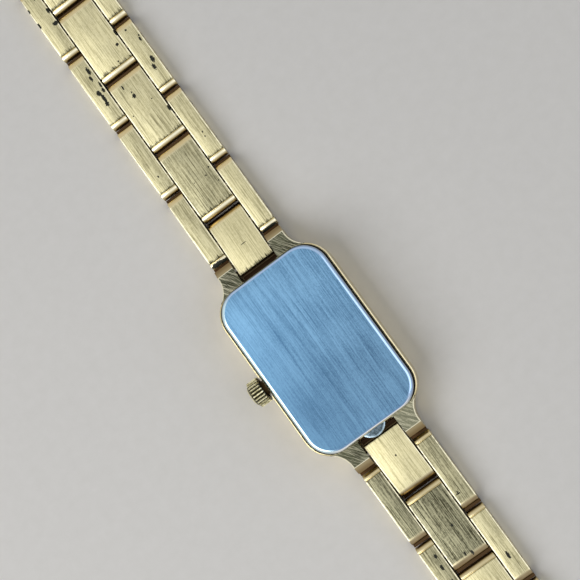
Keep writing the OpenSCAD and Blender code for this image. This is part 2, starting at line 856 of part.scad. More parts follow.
module slab_solid(w, slab, outer) {
    intersection() {
        along_x(w) slab_profile(slab, outer);
        translate([0, outer + 1, 0]) rotate([90, 0, 0])
            linear_extrude(outer - slab + 2) link_section(w);
    }
}

// Slab and rolled bar, with the narrow seam between them on the wrist side.
module link_solid(w, inner, outer) {
    slab = bar_show - inner;
    difference() {
        union() {
            slab_solid(w, slab, outer);
            translate([0, bar_r - inner, 0]) pin_x(bar_r, w - 2 * edge_chamfer);
        }
        translate([-w / 2, slab - seam_w, half_t - seam_d]) cube([w, seam_w, seam_d]);
    }
}

// The first link has no rolled bar: its slab runs back over the spring bar.
module centre_link(first) {
    reach = first ? first_span : half_pitch;
    color(gold) difference() {
        if (first) slab_solid(centre_w, -first_inner, reach + link_end);
        else link_solid(centre_w, link_end, reach + link_end);
        pin_x(first ? bar_bore_r : pin_r + running, centre_w + 1);
        translate([0, reach, 0]) pin_x(pin_r + running, centre_w + 1);
    }
}

// Two side plates with the two pins that are pressed into them.
module side_links() {
    bore_r = pin_r + snug;
    color(gold) both_sides() translate([side_x + side_w / 2, 0, 0]) difference() {
        link_solid(side_w, link_end, half_pitch + link_end);
        pin_x(bore_r, side_w + 1);
        translate([0, half_pitch, 0]) pin_x(bore_r, side_w + 1);
    }
    color(steel) for (y = [0, half_pitch]) translate([0, y, 0]) pin_x(pin_r, strand_w - 0.04);
}

// Puts a piece of the 12 o'clock strand on its pin, at its angle on the table.
module on_pin(k) {
    translate([0, pin_y(k), pin_z(k)]) rotate([-tilt(k), 0, 0]) children();
}

// Clasp

clasp_top = half_t - 0.1;
hook_drop = 0.75;
hook_w = 3.6;
hook_from_end = 3.2;
hook_t = 0.5;
hook_reach = 1.1;
hook_lip_t = 0.35;
neck_t = 1.2;
plate_short = 0.8;

module across(w, y, z, l, t) {
    translate([-w / 2, y, z]) cube([w, l, t]);
}

// Inner leaf of the clasp: link end, hinge knuckle, plate and hook.
module clasp_base() {
    plate_w = clasp_w - 2 * clasp_sheet - 0.3;
    plate_y = clasp_hinge_y + clasp_knuckle_r + 0.45;
    sheet_z = clasp_top - clasp_sheet;
    hook_y = clasp_l - hook_from_end;
    hook_z = sheet_z - hook_drop;
    color(gold) on_pin(2 * pairs) difference() {
        union() {
            pin_x(half_t - 0.05, centre_w);
            across(centre_w, 0, clasp_top - neck_t, clasp_hinge_y - clasp_pin_r - 0.2, neck_t);
            across(centre_w, 0, sheet_z, plate_y + clasp_sheet, clasp_sheet);
            translate([0, clasp_hinge_y, 0]) pin_x(clasp_knuckle_r, centre_w);
            across(plate_w, plate_y, sheet_z, clasp_l - plate_short - plate_y, clasp_sheet);
            across(hook_w, hook_y, hook_z, hook_t, hook_drop + eps);
            across(hook_w, hook_y, hook_z, hook_reach, hook_lip_t);
        }
        pin_x(pin_r + running, centre_w + 1);
        translate([0, clasp_hinge_y, 0]) pin_x(clasp_pin_r + running, centre_w + 1);
    }
}

// Outer leaf: a channel that closes over the inner leaf.
module clasp_lid() {
    floor_z = -half_t;
    wall_top = half_t - 0.45;
    round_r = 0.35;
    catch_l = 0.6;
    catch_h = 0.7;
    color(gold) on_pin(2 * pairs) difference() {
        along_x(clasp_w) difference() {
            translate([lid_start, floor_z]) square([clasp_l - lid_start, wall_top - floor_z]);
            translate([clasp_l - catch_l, floor_z + catch_h]) square([catch_l + eps, link_t]);
            translate([lid_start - eps, floor_z - eps]) difference() {
                square([round_r, round_r]);
                translate([round_r, round_r]) circle(round_r);
            }
        }
        translate([0, (clasp_l + lid_start) / 2 + 0.2, 0])
            cube([clasp_w - 2 * clasp_sheet, clasp_l - lid_start + 2, 2 * (half_t - clasp_sheet)],
                center = true);
        translate([-centre_w / 2 - 0.2, lid_start - 1, -half_t - 1])
            cube([centre_w + 0.4, clasp_hinge_y + knuckle_gap - lid_start + 1, link_t]);
        translate([0, clasp_hinge_y, 0]) pin_x(clasp_pin_r + snug, clasp_w + 1);
    }
}

module clasp_hinge_pin() {
    color(steel) on_pin(2 * pairs) translate([0, clasp_hinge_y, 0])
        pin_x(clasp_pin_r, clasp_w - 0.04);
}

// Wire loop at the end of the 6 o'clock strand, which the clasp's hook holds.
module end_loop() {
    wire = loop_wire / 2;
    color(gold) mirror([0, 1, 0]) on_pin(2 * pairs) difference() {
        union() {
            pin_x(half_t - 0.05, centre_w);
            translate([-centre_w / 2, 0, -wire]) cube([centre_w, loop_start + wire, loop_wire]);
            translate([-loop_w / 2, loop_start, -wire]) cube([loop_w, loop_l, loop_wire]);
        }
        pin_x(pin_r + running, centre_w + 1);
        translate([loop_wire - loop_w / 2, loop_start + loop_wire, -loop_wire])
            cube([loop_w - 2 * loop_wire, loop_l - 2 * loop_wire, 2 * loop_wire]);
    }
}

case_body();
back_cover();
back_gasket();
crystal();
crystal_gasket();
dial();
dial_markers();
hour_hand();
minute_hand();
crown();
stem();
crown_tube();
crown_gasket();
movement_ring();
main_plate();
train_bridge();
movement_screws();
circuit_block();
coil();
stator();
rotor();
battery();
battery_clamp();
intermediate_wheel();
centre_wheel();
minute_wheel();
hour_wheel();
spring_bars();
clasp_base();
clasp_lid();
clasp_hinge_pin();
end_loop();

for (k = [1:pairs]) {
    on_pin(2 * k - 2) centre_link(k == 1);
    on_pin(2 * k - 1) side_links();
    mirror([0, 1, 0]) on_pin(2 * k - 2) centre_link(k == 1);
    mirror([0, 1, 0]) on_pin(2 * k - 1) side_links();
}
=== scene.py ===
# %% [markdown]
# A dress watch lying dial down
#
# The watch has a gold-plated case, a pressed-in steel back and a bracelet of
# solid links in three rows. The CAD model already has every piece in place.
# This lesson gives the pieces that the eye meets first a finer shape, and
# gives every piece a finish: brushed gold with pits worn through the plating,
# polished rolled bars, and a brushed steel back with a polished rim.

# %% Load the frame
import math

import bmesh
import bpy
from mathutils import Matrix, Vector


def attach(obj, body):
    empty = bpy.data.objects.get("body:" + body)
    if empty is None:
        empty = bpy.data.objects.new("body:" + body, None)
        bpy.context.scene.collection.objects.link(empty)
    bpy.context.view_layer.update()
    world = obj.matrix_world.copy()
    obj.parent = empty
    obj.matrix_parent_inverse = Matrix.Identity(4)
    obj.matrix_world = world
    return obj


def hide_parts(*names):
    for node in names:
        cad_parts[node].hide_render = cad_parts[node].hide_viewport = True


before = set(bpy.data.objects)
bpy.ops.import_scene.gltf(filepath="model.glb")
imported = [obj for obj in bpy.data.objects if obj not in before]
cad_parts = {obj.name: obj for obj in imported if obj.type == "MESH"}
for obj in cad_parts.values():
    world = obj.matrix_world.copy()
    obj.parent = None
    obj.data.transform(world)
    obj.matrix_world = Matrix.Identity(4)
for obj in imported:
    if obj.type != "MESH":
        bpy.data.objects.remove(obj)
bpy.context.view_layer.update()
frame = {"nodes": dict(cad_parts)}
nodes = frame["nodes"]
print("CAD nodes:", len(nodes))

# %% [markdown]
# Sizes
#
# The model's drawing is in millimetres, and Blender's scene is in metres. The
# sizes below are the drawing's own, and every mesh is built in millimetres in
# its own place and then scaled once, when it becomes an object.

# %% Sizes of the head, in millimetres
MM = 0.001

case_w, case_l, case_h = 16.6, 25.0, 4.5
case_corner_r = 3.8
side_wall, end_wall = 1.1, 1.2
crystal_proud = 0.1
back_z = crystal_proud + case_h
back_side_margin, back_end_margin = 0.45, 0.2
back_w = case_w - 2 * back_side_margin
back_l = case_l - 2 * back_end_margin
back_r = case_corner_r - back_end_margin
back_h, back_bevel, back_rim_t = 1.1, 0.55, 0.4
rim_z, top_z = back_z + back_rim_t, back_z + back_h
lip_r, lip_out, lip_t = 1.9, 0.95, 0.4
lip_y = lip_r - lip_out - back_l / 2
crown_r, crown_l, crown_z, crown_gap = 1.8, 1.95, 3.3, 0.3
crown_end_x = -case_w / 2 - crown_gap - crown_l
lug_pin_out, lug_pin_z = 1.95, 2.4
lug_pin_y = case_l / 2 + lug_pin_out
lug_flare_r, lug_bevel_l = 3.2, 0.9
print("back", round(back_w, 2), "x", round(back_l, 2), "mm")

# %% Sizes of the bracelet, in millimetres
pairs = 5
centre_w, side_w, row_gap = 5.2, 2.4, 0.2
side_x = centre_w / 2 + row_gap + side_w / 2
strand_w = 2 * (side_x + side_w / 2)
link_t, half_pitch, link_gap = 1.9, 5.7, 0.5
half_t = link_t / 2
link_end = (half_pitch - link_gap) / 2
first_span, first_inner = 4.45, 1.25
lug_tip_y = lug_pin_y + first_span - link_end - link_gap
bar_r, bar_show = 0.82, 0.85
seam_w, seam_d = 0.12, 0.34
end_bevel_l, end_bevel_drop, under_bevel = 0.7, 0.35, 0.3
# The shelves are dark stand-ins for the shade in the gaps; the real links have none.
link_shelf, first_shelf, shelf_top, shelf_low = 0.46, 0.6, -0.06, -0.32
pin_r, pin_proud = 0.42, 0.01
print("strand", strand_w, "mm wide")

# %% [markdown]
# Where each link lies
#
# Each strand droops from the lugs to the table. A link hangs from the pin at
# its inner end and rests on the lower corner of its outer end, so each tilt
# follows from the height of the pin before it. The strand at 6 o'clock is the
# mirror image of the one at 12.

# %% Pins and tilts of a strand
pins, tilts = [(lug_pin_y, lug_pin_z)], []
for k in range(2 * pairs):
    y, z = pins[-1]
    span = half_pitch if k else first_span
    reach = span + link_end - under_bevel
    droop = math.asin(z / math.hypot(reach, half_t)) - math.atan2(half_t, reach)
    tilts.append(max(0, droop))
    pins.append((y + span * math.cos(tilts[-1]), z - span * math.sin(tilts[-1])))
print("first tilt", round(math.degrees(tilts[0]), 1), "degrees")


# %% Sizes and place of one link
class Link:
    """Link k of a strand, counted from the lugs: side is 1 at 12 o'clock and -1 at 6."""

    def __init__(self, k, side):
        self.k, self.side = k, side
        self.is_first, self.is_centre = k == 0, k % 2 == 0
        self.inner = first_inner if self.is_first else link_end
        self.outer = (first_span if self.is_first else half_pitch) + link_end
        self.slab = -self.inner if self.is_first else bar_show - self.inner
        self.crease = self.outer - end_bevel_l
        self.width, self.middle = (centre_w, 0) if self.is_centre else (side_w, side_x)
        meets_clasp = k >= 2 * pairs - 2
        self.shelf = 0 if meets_clasp else link_shelf
        row = "centre_link" if self.is_centre else "side_links"
        self.name = "%s_%s_%d" % (row, "12" if side == 1 else "6", k // 2 + 1)

    def place(self):
        """Matrix from the link's own millimetres to the watch's."""
        y, z = pins[self.k]
        lay = Matrix.Translation((0, y, z)) @ Matrix.Rotation(-tilts[self.k], 4, "X")
        return Matrix.Diagonal((1, self.side, 1, 1)) @ lay


print("from the lugs:", *(Link(k, 1).name for k in range(4)))

# %% [markdown]
# Writing shader maths as Python
#
# A finish of worn metal takes dozens of nodes, and wiring each one by hand would
# hide what it does. A `Value` wraps the socket that a number comes out of, so
# that an ordinary expression such as `1 - mask * 0.5` adds its Math nodes by
# itself. Every other node is added by the one method `add`. A `Finish` is a
# material that is built in this way.


# %% Numbers that add their own nodes
class Value:
    """A number, colour or vector in a node tree, which Python's operators can work on."""

    def __init__(self, nodes, socket):
        self.nodes, self.socket = nodes, socket

    def math(self, operation, *others):
        inputs = dict(enumerate((self, *others)))
        return self.nodes.add("Math", {"operation": operation}, inputs)

    def __add__(self, other):
        return self.math("ADD", other)

    def __sub__(self, other):
        return self.math("SUBTRACT", other)

    def __mul__(self, other):
        return self.math("MULTIPLY", other)

    def __rsub__(self, other):
        return (self * -1) + other

    __radd__, __rmul__ = __add__, __mul__

    def __abs__(self):
        return self.math("ABSOLUTE")

    def __pow__(self, other):
        return self.math("POWER", other)

    def least(self, other):
        return self.math("MINIMUM", other)

    def most(self, other):
        return self.math("MAXIMUM", other)

    def ramp(self, low, high, start=0.0, end=1.0):
        """Runs smoothly from start to end while the number goes from low to high."""
        return self.nodes.add("MapRange", {"interpolation_type": "SMOOTHSTEP"},
                              {0: self, 1: low, 2: high, 3: start, 4: end})

    def stretched(self, x, y, z):
        return self.nodes.add("VectorMath", {"operation": "MULTIPLY"}, {0: self, 1: (x, y, z)})

    def moved(self, x, y, z):
        return self.nodes.add("VectorMath", {"operation": "ADD"}, {0: self, 1: (x, y, z)})

    def turned(self, degrees):
        """A flat pattern's coordinates, turned about the vertical."""
        return self.nodes.add("Mapping", None,
                              {"Vector": self, "Rotation": (0, 0, math.radians(degrees))})

    def parts(self):
        split = self.nodes.add("SeparateXYZ", None, {0: self}).socket.node
        return [Value(self.nodes, end) for end in split.outputs]


print("a value takes + - * ** and abs()")


# %% Node trees and finishes
class Nodes:
    """Adds nodes one by one to the tree of a material or of the world."""

    def __init__(self, tree):
        self.tree = tree
        tree.nodes.clear()

    def add(self, kind, settings=None, inputs=None, output=0):
        node = self.tree.nodes.new("ShaderNode" + kind)
        for key, value in (settings or {}).items():
            setattr(node, key, value)
        for key, value in (inputs or {}).items():
            self.plug(node.inputs[key], value)
        return Value(self, node.outputs[output]) if node.outputs else None

    def plug(self, socket, value):
        if isinstance(value, Value):
            self.tree.links.new(value.socket, socket)
        else:
            socket.default_value = value


class Finish(Nodes):
    """A material whose nodes are added one by one in front of a Principled shader."""

    def __init__(self, name, **sockets):
        self.material = bpy.data.materials.new(name)
        self.material.use_nodes = True
        super().__init__(self.material.node_tree)
        surface = self.add("BsdfPrincipled")
        self.shader = surface.socket.node
        self.add("OutputMaterial", None, {"Surface": surface})
        self.set(**sockets)

    def set(self, **sockets):
        for name, value in sockets.items():
            self.plug(self.shader.inputs[name.replace("_", " ")], value)

    def here(self):
        """The point being shaded, in millimetres of the watch."""
        return self.add("TexCoord", output="Object").stretched(1 / MM, 1 / MM, 1 / MM)

    def upward(self):
        """How much the surface faces up: 1 on a level face and 0 on a wall."""
        return self.add("NewGeometry", output="Normal").parts()[2]

    def noise(self, vector, scale=1.0, detail=2.0, roughness=0.5):
        return self.add("TexNoise", None, {"Vector": vector, "Scale": scale, "Detail": detail,
                                           "Roughness": roughness})

    def blend(self, amount, first, second):
        return self.add("Mix", {"data_type": "RGBA"}, {0: amount, 6: first, 7: second}, output=2)

    def bump(self, height, depth, softness=None):
        """Normal of a surface whose height varies by depth, in millimetres."""
        inputs = {"Height": height, "Distance": depth * MM, "Strength": 1.0}
        if softness:
            inputs["Normal"] = self.add("Bevel", {"samples": 4}, {"Radius": softness * MM})
        return self.add("Bump", None, inputs)


trial = Finish("trial")
trial.set(Roughness=1 - trial.noise(trial.here()) * 0.5)
print("a finish with uneven gloss takes", len(trial.tree.nodes), "nodes")
bpy.data.materials.remove(trial.material)


# %% Tones
def tone(red, green, blue):
    """Colour as a linear RGBA value, from the 0 to 255 levels that a screen shows."""
    levels = [c / 255 for c in (red, green, blue)]
    return (*[c / 12.92 if c <= 0.04045 else ((c + 0.055) / 1.055) ** 2.4 for c in levels], 1)


print("a mid tone in linear light:", round(tone(128, 128, 128)[0], 3))

# %% [markdown]
# Brushed and worn gold plate
#
# The links are brushed along the strap, so the plating shows fine bright and
# dark streaks that run with the link. Skin, sweat and scratches have dulled
# some plates to a grey khaki, dirt sits in uneven ticks where the brushed face
# meets the rolled bar, and in places the plating has pitted through to a
# black-green base. Light and shade are painted in as well: a painted highlight
# and painted shade on the rolled bars, painted shade low on the sides, on the
# ends and in the gaps, a painted highlight along the long edges, and painted
# shadow of the lugs, drawn like pits. The streaks are a noise that is squeezed
# across the strap and drawn out along it. A pit is an ellipse in the link's own
# millimetres whose edge is broken up by another noise. A pattern's cells are
# counted per millimetre across, along and up. Such patterns need no unwrapping
# and stay sharp however near the camera comes, which a picture wrapped round
# each link wouldn't.

# %% Colours of the gold
FRESH_LIGHT, FRESH_DARK = tone(228, 220, 178), tone(198, 190, 147)
DULL_LIGHT, DULL_DARK = tone(164, 161, 132), tone(62, 61, 45)
UNDER_LIGHT, UNDER_DARK = tone(240, 226, 180), tone(206, 188, 138)
SCRATCH_LINE = tone(58, 54, 36)
POLISHED = tone(238, 226, 184)
# Painted shade deep on the plates' long sides and at their outer ends.
WARM_SHADE = tone(82, 62, 38)
# Painted shade in the gaps between links and on the first link's inner shelf.
GAP_SHADE, FIRST_SHELF_SHADE = tone(86, 66, 44), tone(46, 34, 24)
# Painted light on the rolled bars: shade at the foot and by the seam, and a highlight that is
# brighter at 12 o'clock.
BAR_FOOT_SHADE, BAR_GOLD, BAR_SEAM_SHADE = tone(70, 52, 34), tone(180, 162, 116), tone(150, 136, 94)
BAR_HIGHLIGHT = {1: tone(255, 248, 218), -1: tone(214, 200, 158)}
# Painted light on the bevelled ends, lighter at 12 o'clock than at 6.
BEVEL_LIGHT_BY_SIDE = {1: tone(210, 188, 138), -1: tone(120, 96, 64)}
# A painted highlight along the long edges.
EDGE_HIGHLIGHT = tone(250, 244, 214)
SEAM_DIRT = tone(50, 48, 32)
# Black of the pits, and of the painted shadow of the lugs on the first side plates at 12 o'clock.
PIT_AND_SHADE_BLACK = tone(28, 30, 20)
print("fresh gold in linear light:", *(round(c, 2) for c in FRESH_LIGHT[:3]))

# %% Patterns on a link
HAIR, STREAK, GRAIN, CLOUD = (15, 0.35, 15), (6.4, 0.16, 6.4), (5, 3, 5), (0.7, 0.4, 0.7)
EDGE_RUN, TICKS, PATCHES = (0, 1.3, 0), (13, 0.6, 0), (1.7, 0.1, 0)


def along_strap(finish, link):
    """The shaded point in the millimetres of a link, whichever strand it is in."""
    y, z = pins[link.k]
    return finish.add("Mapping", {"vector_type": "TEXTURE"}, {
        "Vector": finish.here(), "Location": (0, link.side * y, z),
        "Rotation": (-link.side * tilts[link.k], 0, 0), "Scale": (1, link.side, 1)})


def pit_and_shade_mask(finish, point, spots):
    """1 inside the spots, each (across, along, width, length), with ragged edges."""
    x, y, _ = point.parts()
    ragged = (finish.noise(point, 5.5, detail=3.0, roughness=0.6) - 0.5) * 1.7
    mask = None
    for across, along, wide, long in spots:
        dx, dy = (x - across) * (2 / wide), (y - along) * (2 / long)
        distance = (dx * dx + dy * dy) ** 0.5
        inside = (distance + ragged).ramp(1.12, 0.88)
        mask = inside if mask is None else mask.most(inside)
    return mask


def seam_dirt(finish, link, from_seam, pattern):
    """Dirt that reaches from the seam into the brushed face in uneven ticks."""
    tick = finish.noise(pattern.stretched(*TICKS), detail=3.0, roughness=0.75)
    patchy = finish.noise(pattern.stretched(*PATCHES), detail=1.0)
    longest = 0.75 if link.side == 1 else 0.12 if link.slab < 0 else 0.3
    reach = tick.ramp(0.36, 0.74) * patchy.ramp(0.25, 0.65) * longest + 0.03
    return (reach - from_seam).ramp(-0.14, 0.2) * from_seam.ramp(-0.06, -0.01)


print("a streak is", 1 / STREAK[0], "mm wide and", 1 / STREAK[1], "mm long")


# %% Surfaces of a link
def brushed_face(finish, brush, scratch, dull):
    """Bright and dark streaks, which dull turns from fresh gold to khaki."""
    face = finish.blend(brush.ramp(0.41, 0.58), finish.blend(dull, FRESH_DARK, DULL_DARK),
                        finish.blend(dull, FRESH_LIGHT, DULL_LIGHT))
    return finish.blend(scratch * (dull * 0.6 + 0.25), face, SCRATCH_LINE)


def rolled_bar(finish, link, up_the_bar):
    """The polished bar, in painted light: painted shade at its foot, a painted highlight past its
    middle that is brighter at 12 o'clock, and painted shade by the seam.
    """
    colour = finish.blend(up_the_bar.ramp(-0.1, 0.24), BAR_FOOT_SHADE, BAR_GOLD)
    colour = finish.blend(up_the_bar.ramp(0.2, 0.56), colour, BAR_HIGHLIGHT[link.side])
    return finish.blend(up_the_bar.ramp(0.6, 0.84) * 0.6, colour, BAR_SEAM_SHADE)


def plate_sides(finish, link, x, z, cloud):
    """The long sides: polished, with painted shade deep down, where they face another row."""
    colour = finish.blend(cloud.ramp(0.4, 0.8) * 0.3, POLISHED, DULL_LIGHT)
    outside = link.middle + link.width / 2
    shown = 0 if link.is_centre else abs(x).ramp(outside - 0.1, outside - 0.03)
    deep = z.ramp(half_t - 0.35, half_t - 0.8)
    return finish.blend(deep * 0.9 * (1 - shown), colour, WARM_SHADE)


def outer_end(finish, link, y, z, cloud):
    """The bevelled end, in painted light: a tan, lighter at 12 o'clock than at 6, that runs to
    painted shade and is darkest in the gap.
    """
    low = y.ramp(link.outer - (0.18 if link.side == 1 else 0.36), link.outer + 0.02)
    bevel = finish.blend(cloud * 0.4, BEVEL_LIGHT_BY_SIDE[link.side], POLISHED)
    # The lower part of the end and the shelf below it get painted shade.
    return finish.blend(z.ramp(0.3, -0.1), finish.blend(low, bevel, WARM_SHADE), GAP_SHADE)


print("the bar shows", bar_show, "mm, and the seam beside it is", seam_w, "mm wide")


# %% Worn gold of a link
def worn_gold(link, wear, spots):
    """Finish of one link: wear dulls its left and right plate, and the spots are pitted, except
    where they are painted shadow of the lugs.
    """
    f = Finish(link.name + " gold", Metallic=1.0)
    point = along_strap(f, link)
    x, y, z = point.parts()
    seed = 7.0 * link.k + (1 - link.side) * 31
    pattern = point.moved(seed, 3 * seed, 0)
    hair = f.noise(pattern.stretched(*HAIR), detail=3.0, roughness=0.65)
    streak = f.noise(pattern.stretched(*STREAK), detail=2.0, roughness=0.6)
    grain = f.noise(pattern.stretched(*GRAIN), detail=2.0, roughness=0.6)
    cloud = f.noise(pattern.stretched(*CLOUD), detail=3.0, roughness=0.6)
    brush = hair * 0.42 + streak * 0.42 + grain * 0.16
    dull = (x.ramp(-0.1, 0.1, *wear) + (cloud - 0.5) * 0.5).ramp(-0.15, 1.1)

    top = z.ramp(half_t - 0.14, half_t - 0.03)
    bottom = z.ramp(0.16 - half_t, 0.05 - half_t)
    bar = y.ramp(link.slab - seam_w * 0.2, link.slab - seam_w * 0.8)
    bevel = y.ramp(link.crease - 0.3, link.crease + 0.22)
    brushed = top * y.ramp(link.crease + 0.12, link.crease - 0.4) * (1 - bar)

    colour = f.blend(bevel, plate_sides(f, link, x, z, cloud), outer_end(f, link, y, z, cloud))
    colour = f.blend(bar, colour, rolled_bar(f, link, y - (link.slab - bar_show)))
    # Painted shade on the first link's shelf towards the case.
    colour = f.blend(y.ramp(-link.inner - 0.02, -link.inner - 0.1), colour, FIRST_SHELF_SHADE)
    scratch = (hair * 0.35 + streak * 0.65).ramp(0.43, 0.34)
    colour = f.blend(brushed, colour, brushed_face(f, brush, scratch, dull))
    under = f.blend(brush.ramp(0.42, 0.58), UNDER_DARK, UNDER_LIGHT)
    colour = f.blend(bottom * (1 - bar), colour, under)

    # A painted highlight along the long top edges, broken up by a noise.
    edge = abs(abs(x) - link.middle).ramp(link.width / 2 - 0.17, link.width / 2 - 0.1)
    painted_edge_highlight = f.noise(pattern.stretched(*EDGE_RUN), detail=2.0).ramp(0.3, 0.6, 0.45, 0.95)
    painted_edge_highlight = edge * z.ramp(half_t - 0.2, half_t - 0.05) * painted_edge_highlight * (1 - bevel)
    colour = f.blend(painted_edge_highlight, colour, EDGE_HIGHLIGHT)
    dirt = seam_dirt(f, link, y - link.slab, pattern) * top
    colour = f.blend(dirt * 0.8, colour, SEAM_DIRT)
    # Spots are pits, except on the rolled bars of the first side plates at 12 o'clock, where they
    # are painted shadow of the lugs.
    if spots:
        pits_and_shade = pit_and_shade_mask(f, point, spots) * z.ramp(-0.1, 0.2)
        colour = f.blend(pits_and_shade, colour, PIT_AND_SHADE_BLACK)
        f.set(Metallic=1 - pits_and_shade * 0.9)
        dirt = dirt.most(pits_and_shade)
    rough = brushed * (hair * 0.16 + 0.22) + bar * 0.1 + 0.18
    height = (hair * 0.6 + streak * 0.4) * brushed * 0.5 - dirt
    f.set(Base_Color=colour, Roughness=(rough + dirt * 0.4).least(0.9),
          Normal=f.bump(height, 0.016))
    return f.material


print("gold is ready for", 2 * 2 * pairs, "links")

# %% [markdown]
# A link
#
# Seen from the side, a link is a slab with a bevelled outer end. Its inner end
# is rolled round the pin and shows as a smooth bar, with a narrow seam between
# the bar and the brushed face. One outline is drawn, with the bar's curve spun
# from a single vertex, and pulled out across the strap. Then the corners of the
# outer end and all the long edges are rounded, because those thin round edges
# are what draws the bright lines along the real bracelet. A narrow shelf at half
# the height of the outer end fills most of the gap to the next bar, so that the
# gap shows dark metal and not the table, and still leaves the links room to bend.
# The shelf isn't on the real link: it is painted shade, a dark stand-in for the shade in that gap.

# %% Sizes of the roundings, in millimetres
near = 0.01  # corners closer than this count as one
end_round, shoulder_round, edge_round = 0.2, 0.16, 0.055
pin_round, foot_round, lip_round, ledge_round = 0.04, 0.06, 0.1, 0.04
bar_steps, bar_overrun = 26, 0.2
SMOOTH_ANGLE = math.radians(35)
print("long edges are rounded by", edge_round, "mm")


# %% Mesh helpers
def sharp_edges(bm, least=0.45):
    """Edges whose faces meet at more than an angle, in radians."""
    bm.normal_update()
    return [e for e in bm.edges if e.is_manifold and e.calc_face_angle(0) > least]


def rounded(bm, edges, radius, segments=3):
    bmesh.ops.bevel(bm, geom=edges, offset=radius, segments=segments, profile=0.5,
                    affect="EDGES", material=-1, clamp_overlap=True)


def close_outline(bm, first, last, points):
    """Carries an outline on from last through (y, z) points and back to first, and fills it."""
    for y, z in points:
        corner = bm.verts.new((0, y, z))
        bm.edges.new((last, corner))
        last = corner
    bm.edges.new((last, first))
    return bmesh.ops.edgeloop_fill(bm, edges=bm.edges[:])["faces"]


def pulled(bm, faces, way):
    """Extrudes faces along a vector and returns the faces at the far end."""
    grown = bmesh.ops.extrude_face_region(bm, geom=faces)["geom"]
    bmesh.ops.translate(bm, vec=way, verts=[g for g in grown if isinstance(g, bmesh.types.BMVert)])
    return [g for g in grown if isinstance(g, bmesh.types.BMFace)]


def piece(name, parts, place=Matrix.Identity(4), materials=()):
    """Makes one object of several bmeshes in millimetres, each with its own material."""
    whole = bmesh.new()
    for number, bm in enumerate(parts):
        for face in bm.faces:
            face.material_index = min(number, len(materials) - 1)
        mesh = bpy.data.meshes.new("part")
        bm.to_mesh(mesh)
        whole.from_mesh(mesh)
        bpy.data.meshes.remove(mesh)
        bm.free()
    whole.transform(Matrix.Scale(MM, 4) @ place)
    bmesh.ops.recalc_face_normals(whole, faces=whole.faces)
    mesh = bpy.data.meshes.new(name)
    whole.to_mesh(mesh)
    whole.free()
    mesh.shade_smooth()
    mesh.set_sharp_from_angle(angle=SMOOTH_ANGLE)
    made = bpy.data.objects.new(name, mesh)
    bpy.context.scene.collection.objects.link(made)
    for material in materials:
        mesh.materials.append(material)
    return made


cube = bmesh.new()
bmesh.ops.create_cube(cube, size=1)
rounded(cube, sharp_edges(cube), 0.1)
print("a cube with rounded edges has", len(cube.faces), "faces")
cube.free()


# %% Outline of a link
def rolled_end(bm, link):
    """Spins the bar's curve, and returns its first and last vertex and the seam's floor."""
    bar_y, notch_y = bar_r - link.inner, link.slab - seam_w
    lean = math.asin((bar_y - notch_y) / bar_r)
    first = bm.verts.new((0, notch_y, bar_r * math.cos(lean)))
    arc = bmesh.ops.spin(bm, geom=[first], cent=(0, bar_y, 0), axis=(1, 0, 0),
                         angle=math.pi - lean + bar_overrun, steps=bar_steps)
    seam_floor = [(link.slab, half_t - seam_d), (notch_y, half_t - seam_d)]
    return first, arc["geom_last"][0], seam_floor


def link_outline(bm, link):
    """Face of a link seen from the side."""
    slab, outer = link.slab, link.outer
    points = [(slab + under_bevel, -half_t), (outer - under_bevel, -half_t),
              (outer, under_bevel - half_t)]
    # The shelves, at the outer end and on the first link towards the case, stand in for the shade
    # in the gaps.
    if link.shelf:
        points += [(outer, shelf_low), (outer + link.shelf, shelf_low),
                   (outer + link.shelf, shelf_top), (outer, shelf_top)]
    points += [(outer, half_t - end_bevel_drop), (link.crease, half_t), (slab, half_t)]
    if link.is_first:
        first = last = bm.verts.new((0, slab, under_bevel - half_t))
        points += [(slab, shelf_top), (slab - first_shelf, shelf_top),
                   (slab - first_shelf, shelf_low), (slab, shelf_low)]
    else:
        first, last, seam_floor = rolled_end(bm, link)
        points += seam_floor
    return close_outline(bm, first, last, points)


sample = bmesh.new()
link_outline(sample, Link(1, 1))
print("outline of a side plate:", len(sample.verts), "corners")
sample.free()


# %% Mesh of a link
def link_plate(link, middle):
    """One plate of a link in the link's own millimetres, centred on x = middle."""
    bm = bmesh.new()
    pulled(bm, link_outline(bm, link), (link.width, 0, 0))
    bmesh.ops.translate(bm, vec=(middle - link.width / 2, 0, 0), verts=bm.verts)
    bmesh.ops.recalc_face_normals(bm, faces=bm.faces)

    def lies_at(edge, y):
        return all(abs(v.co.y - y) < near for v in edge.verts)

    def above_shelf(edge):
        return not link.shelf or max(v.co.z for v in edge.verts) > shelf_top + near

    ends = [e for e in sharp_edges(bm) if lies_at(e, link.outer) and above_shelf(e)]
    rounded(bm, ends, end_round)
    rounded(bm, [e for e in sharp_edges(bm, 0.2) if lies_at(e, link.crease)], shoulder_round)
    start = link.slab - near if link.is_first else -math.inf
    body = [e for e in sharp_edges(bm)
            if all(start < v.co.y < link.outer + near for v in e.verts)]
    rounded(bm, body, edge_round, 2)
    return bm


def link_pin(y):
    """A steel pin across the strap, whose end shows in the side plate."""
    bm = bmesh.new()
    bmesh.ops.create_cone(bm, cap_ends=True, segments=32, radius1=pin_r, radius2=pin_r,
                          depth=strand_w + 2 * pin_proud)
    rounded(bm, sharp_edges(bm, 1.0), pin_round, 2)
    bmesh.ops.rotate(bm, matrix=Matrix.Rotation(math.pi / 2, 3, "Y"), verts=bm.verts)
    bmesh.ops.translate(bm, vec=(0, y, 0), verts=bm.verts)
    return bm


sample = link_plate(Link(1, 1), side_x)
print("side plate:", len(sample.faces), "faces, open edges:",
      sum(not e.is_manifold for e in sample.edges))
sample.free()
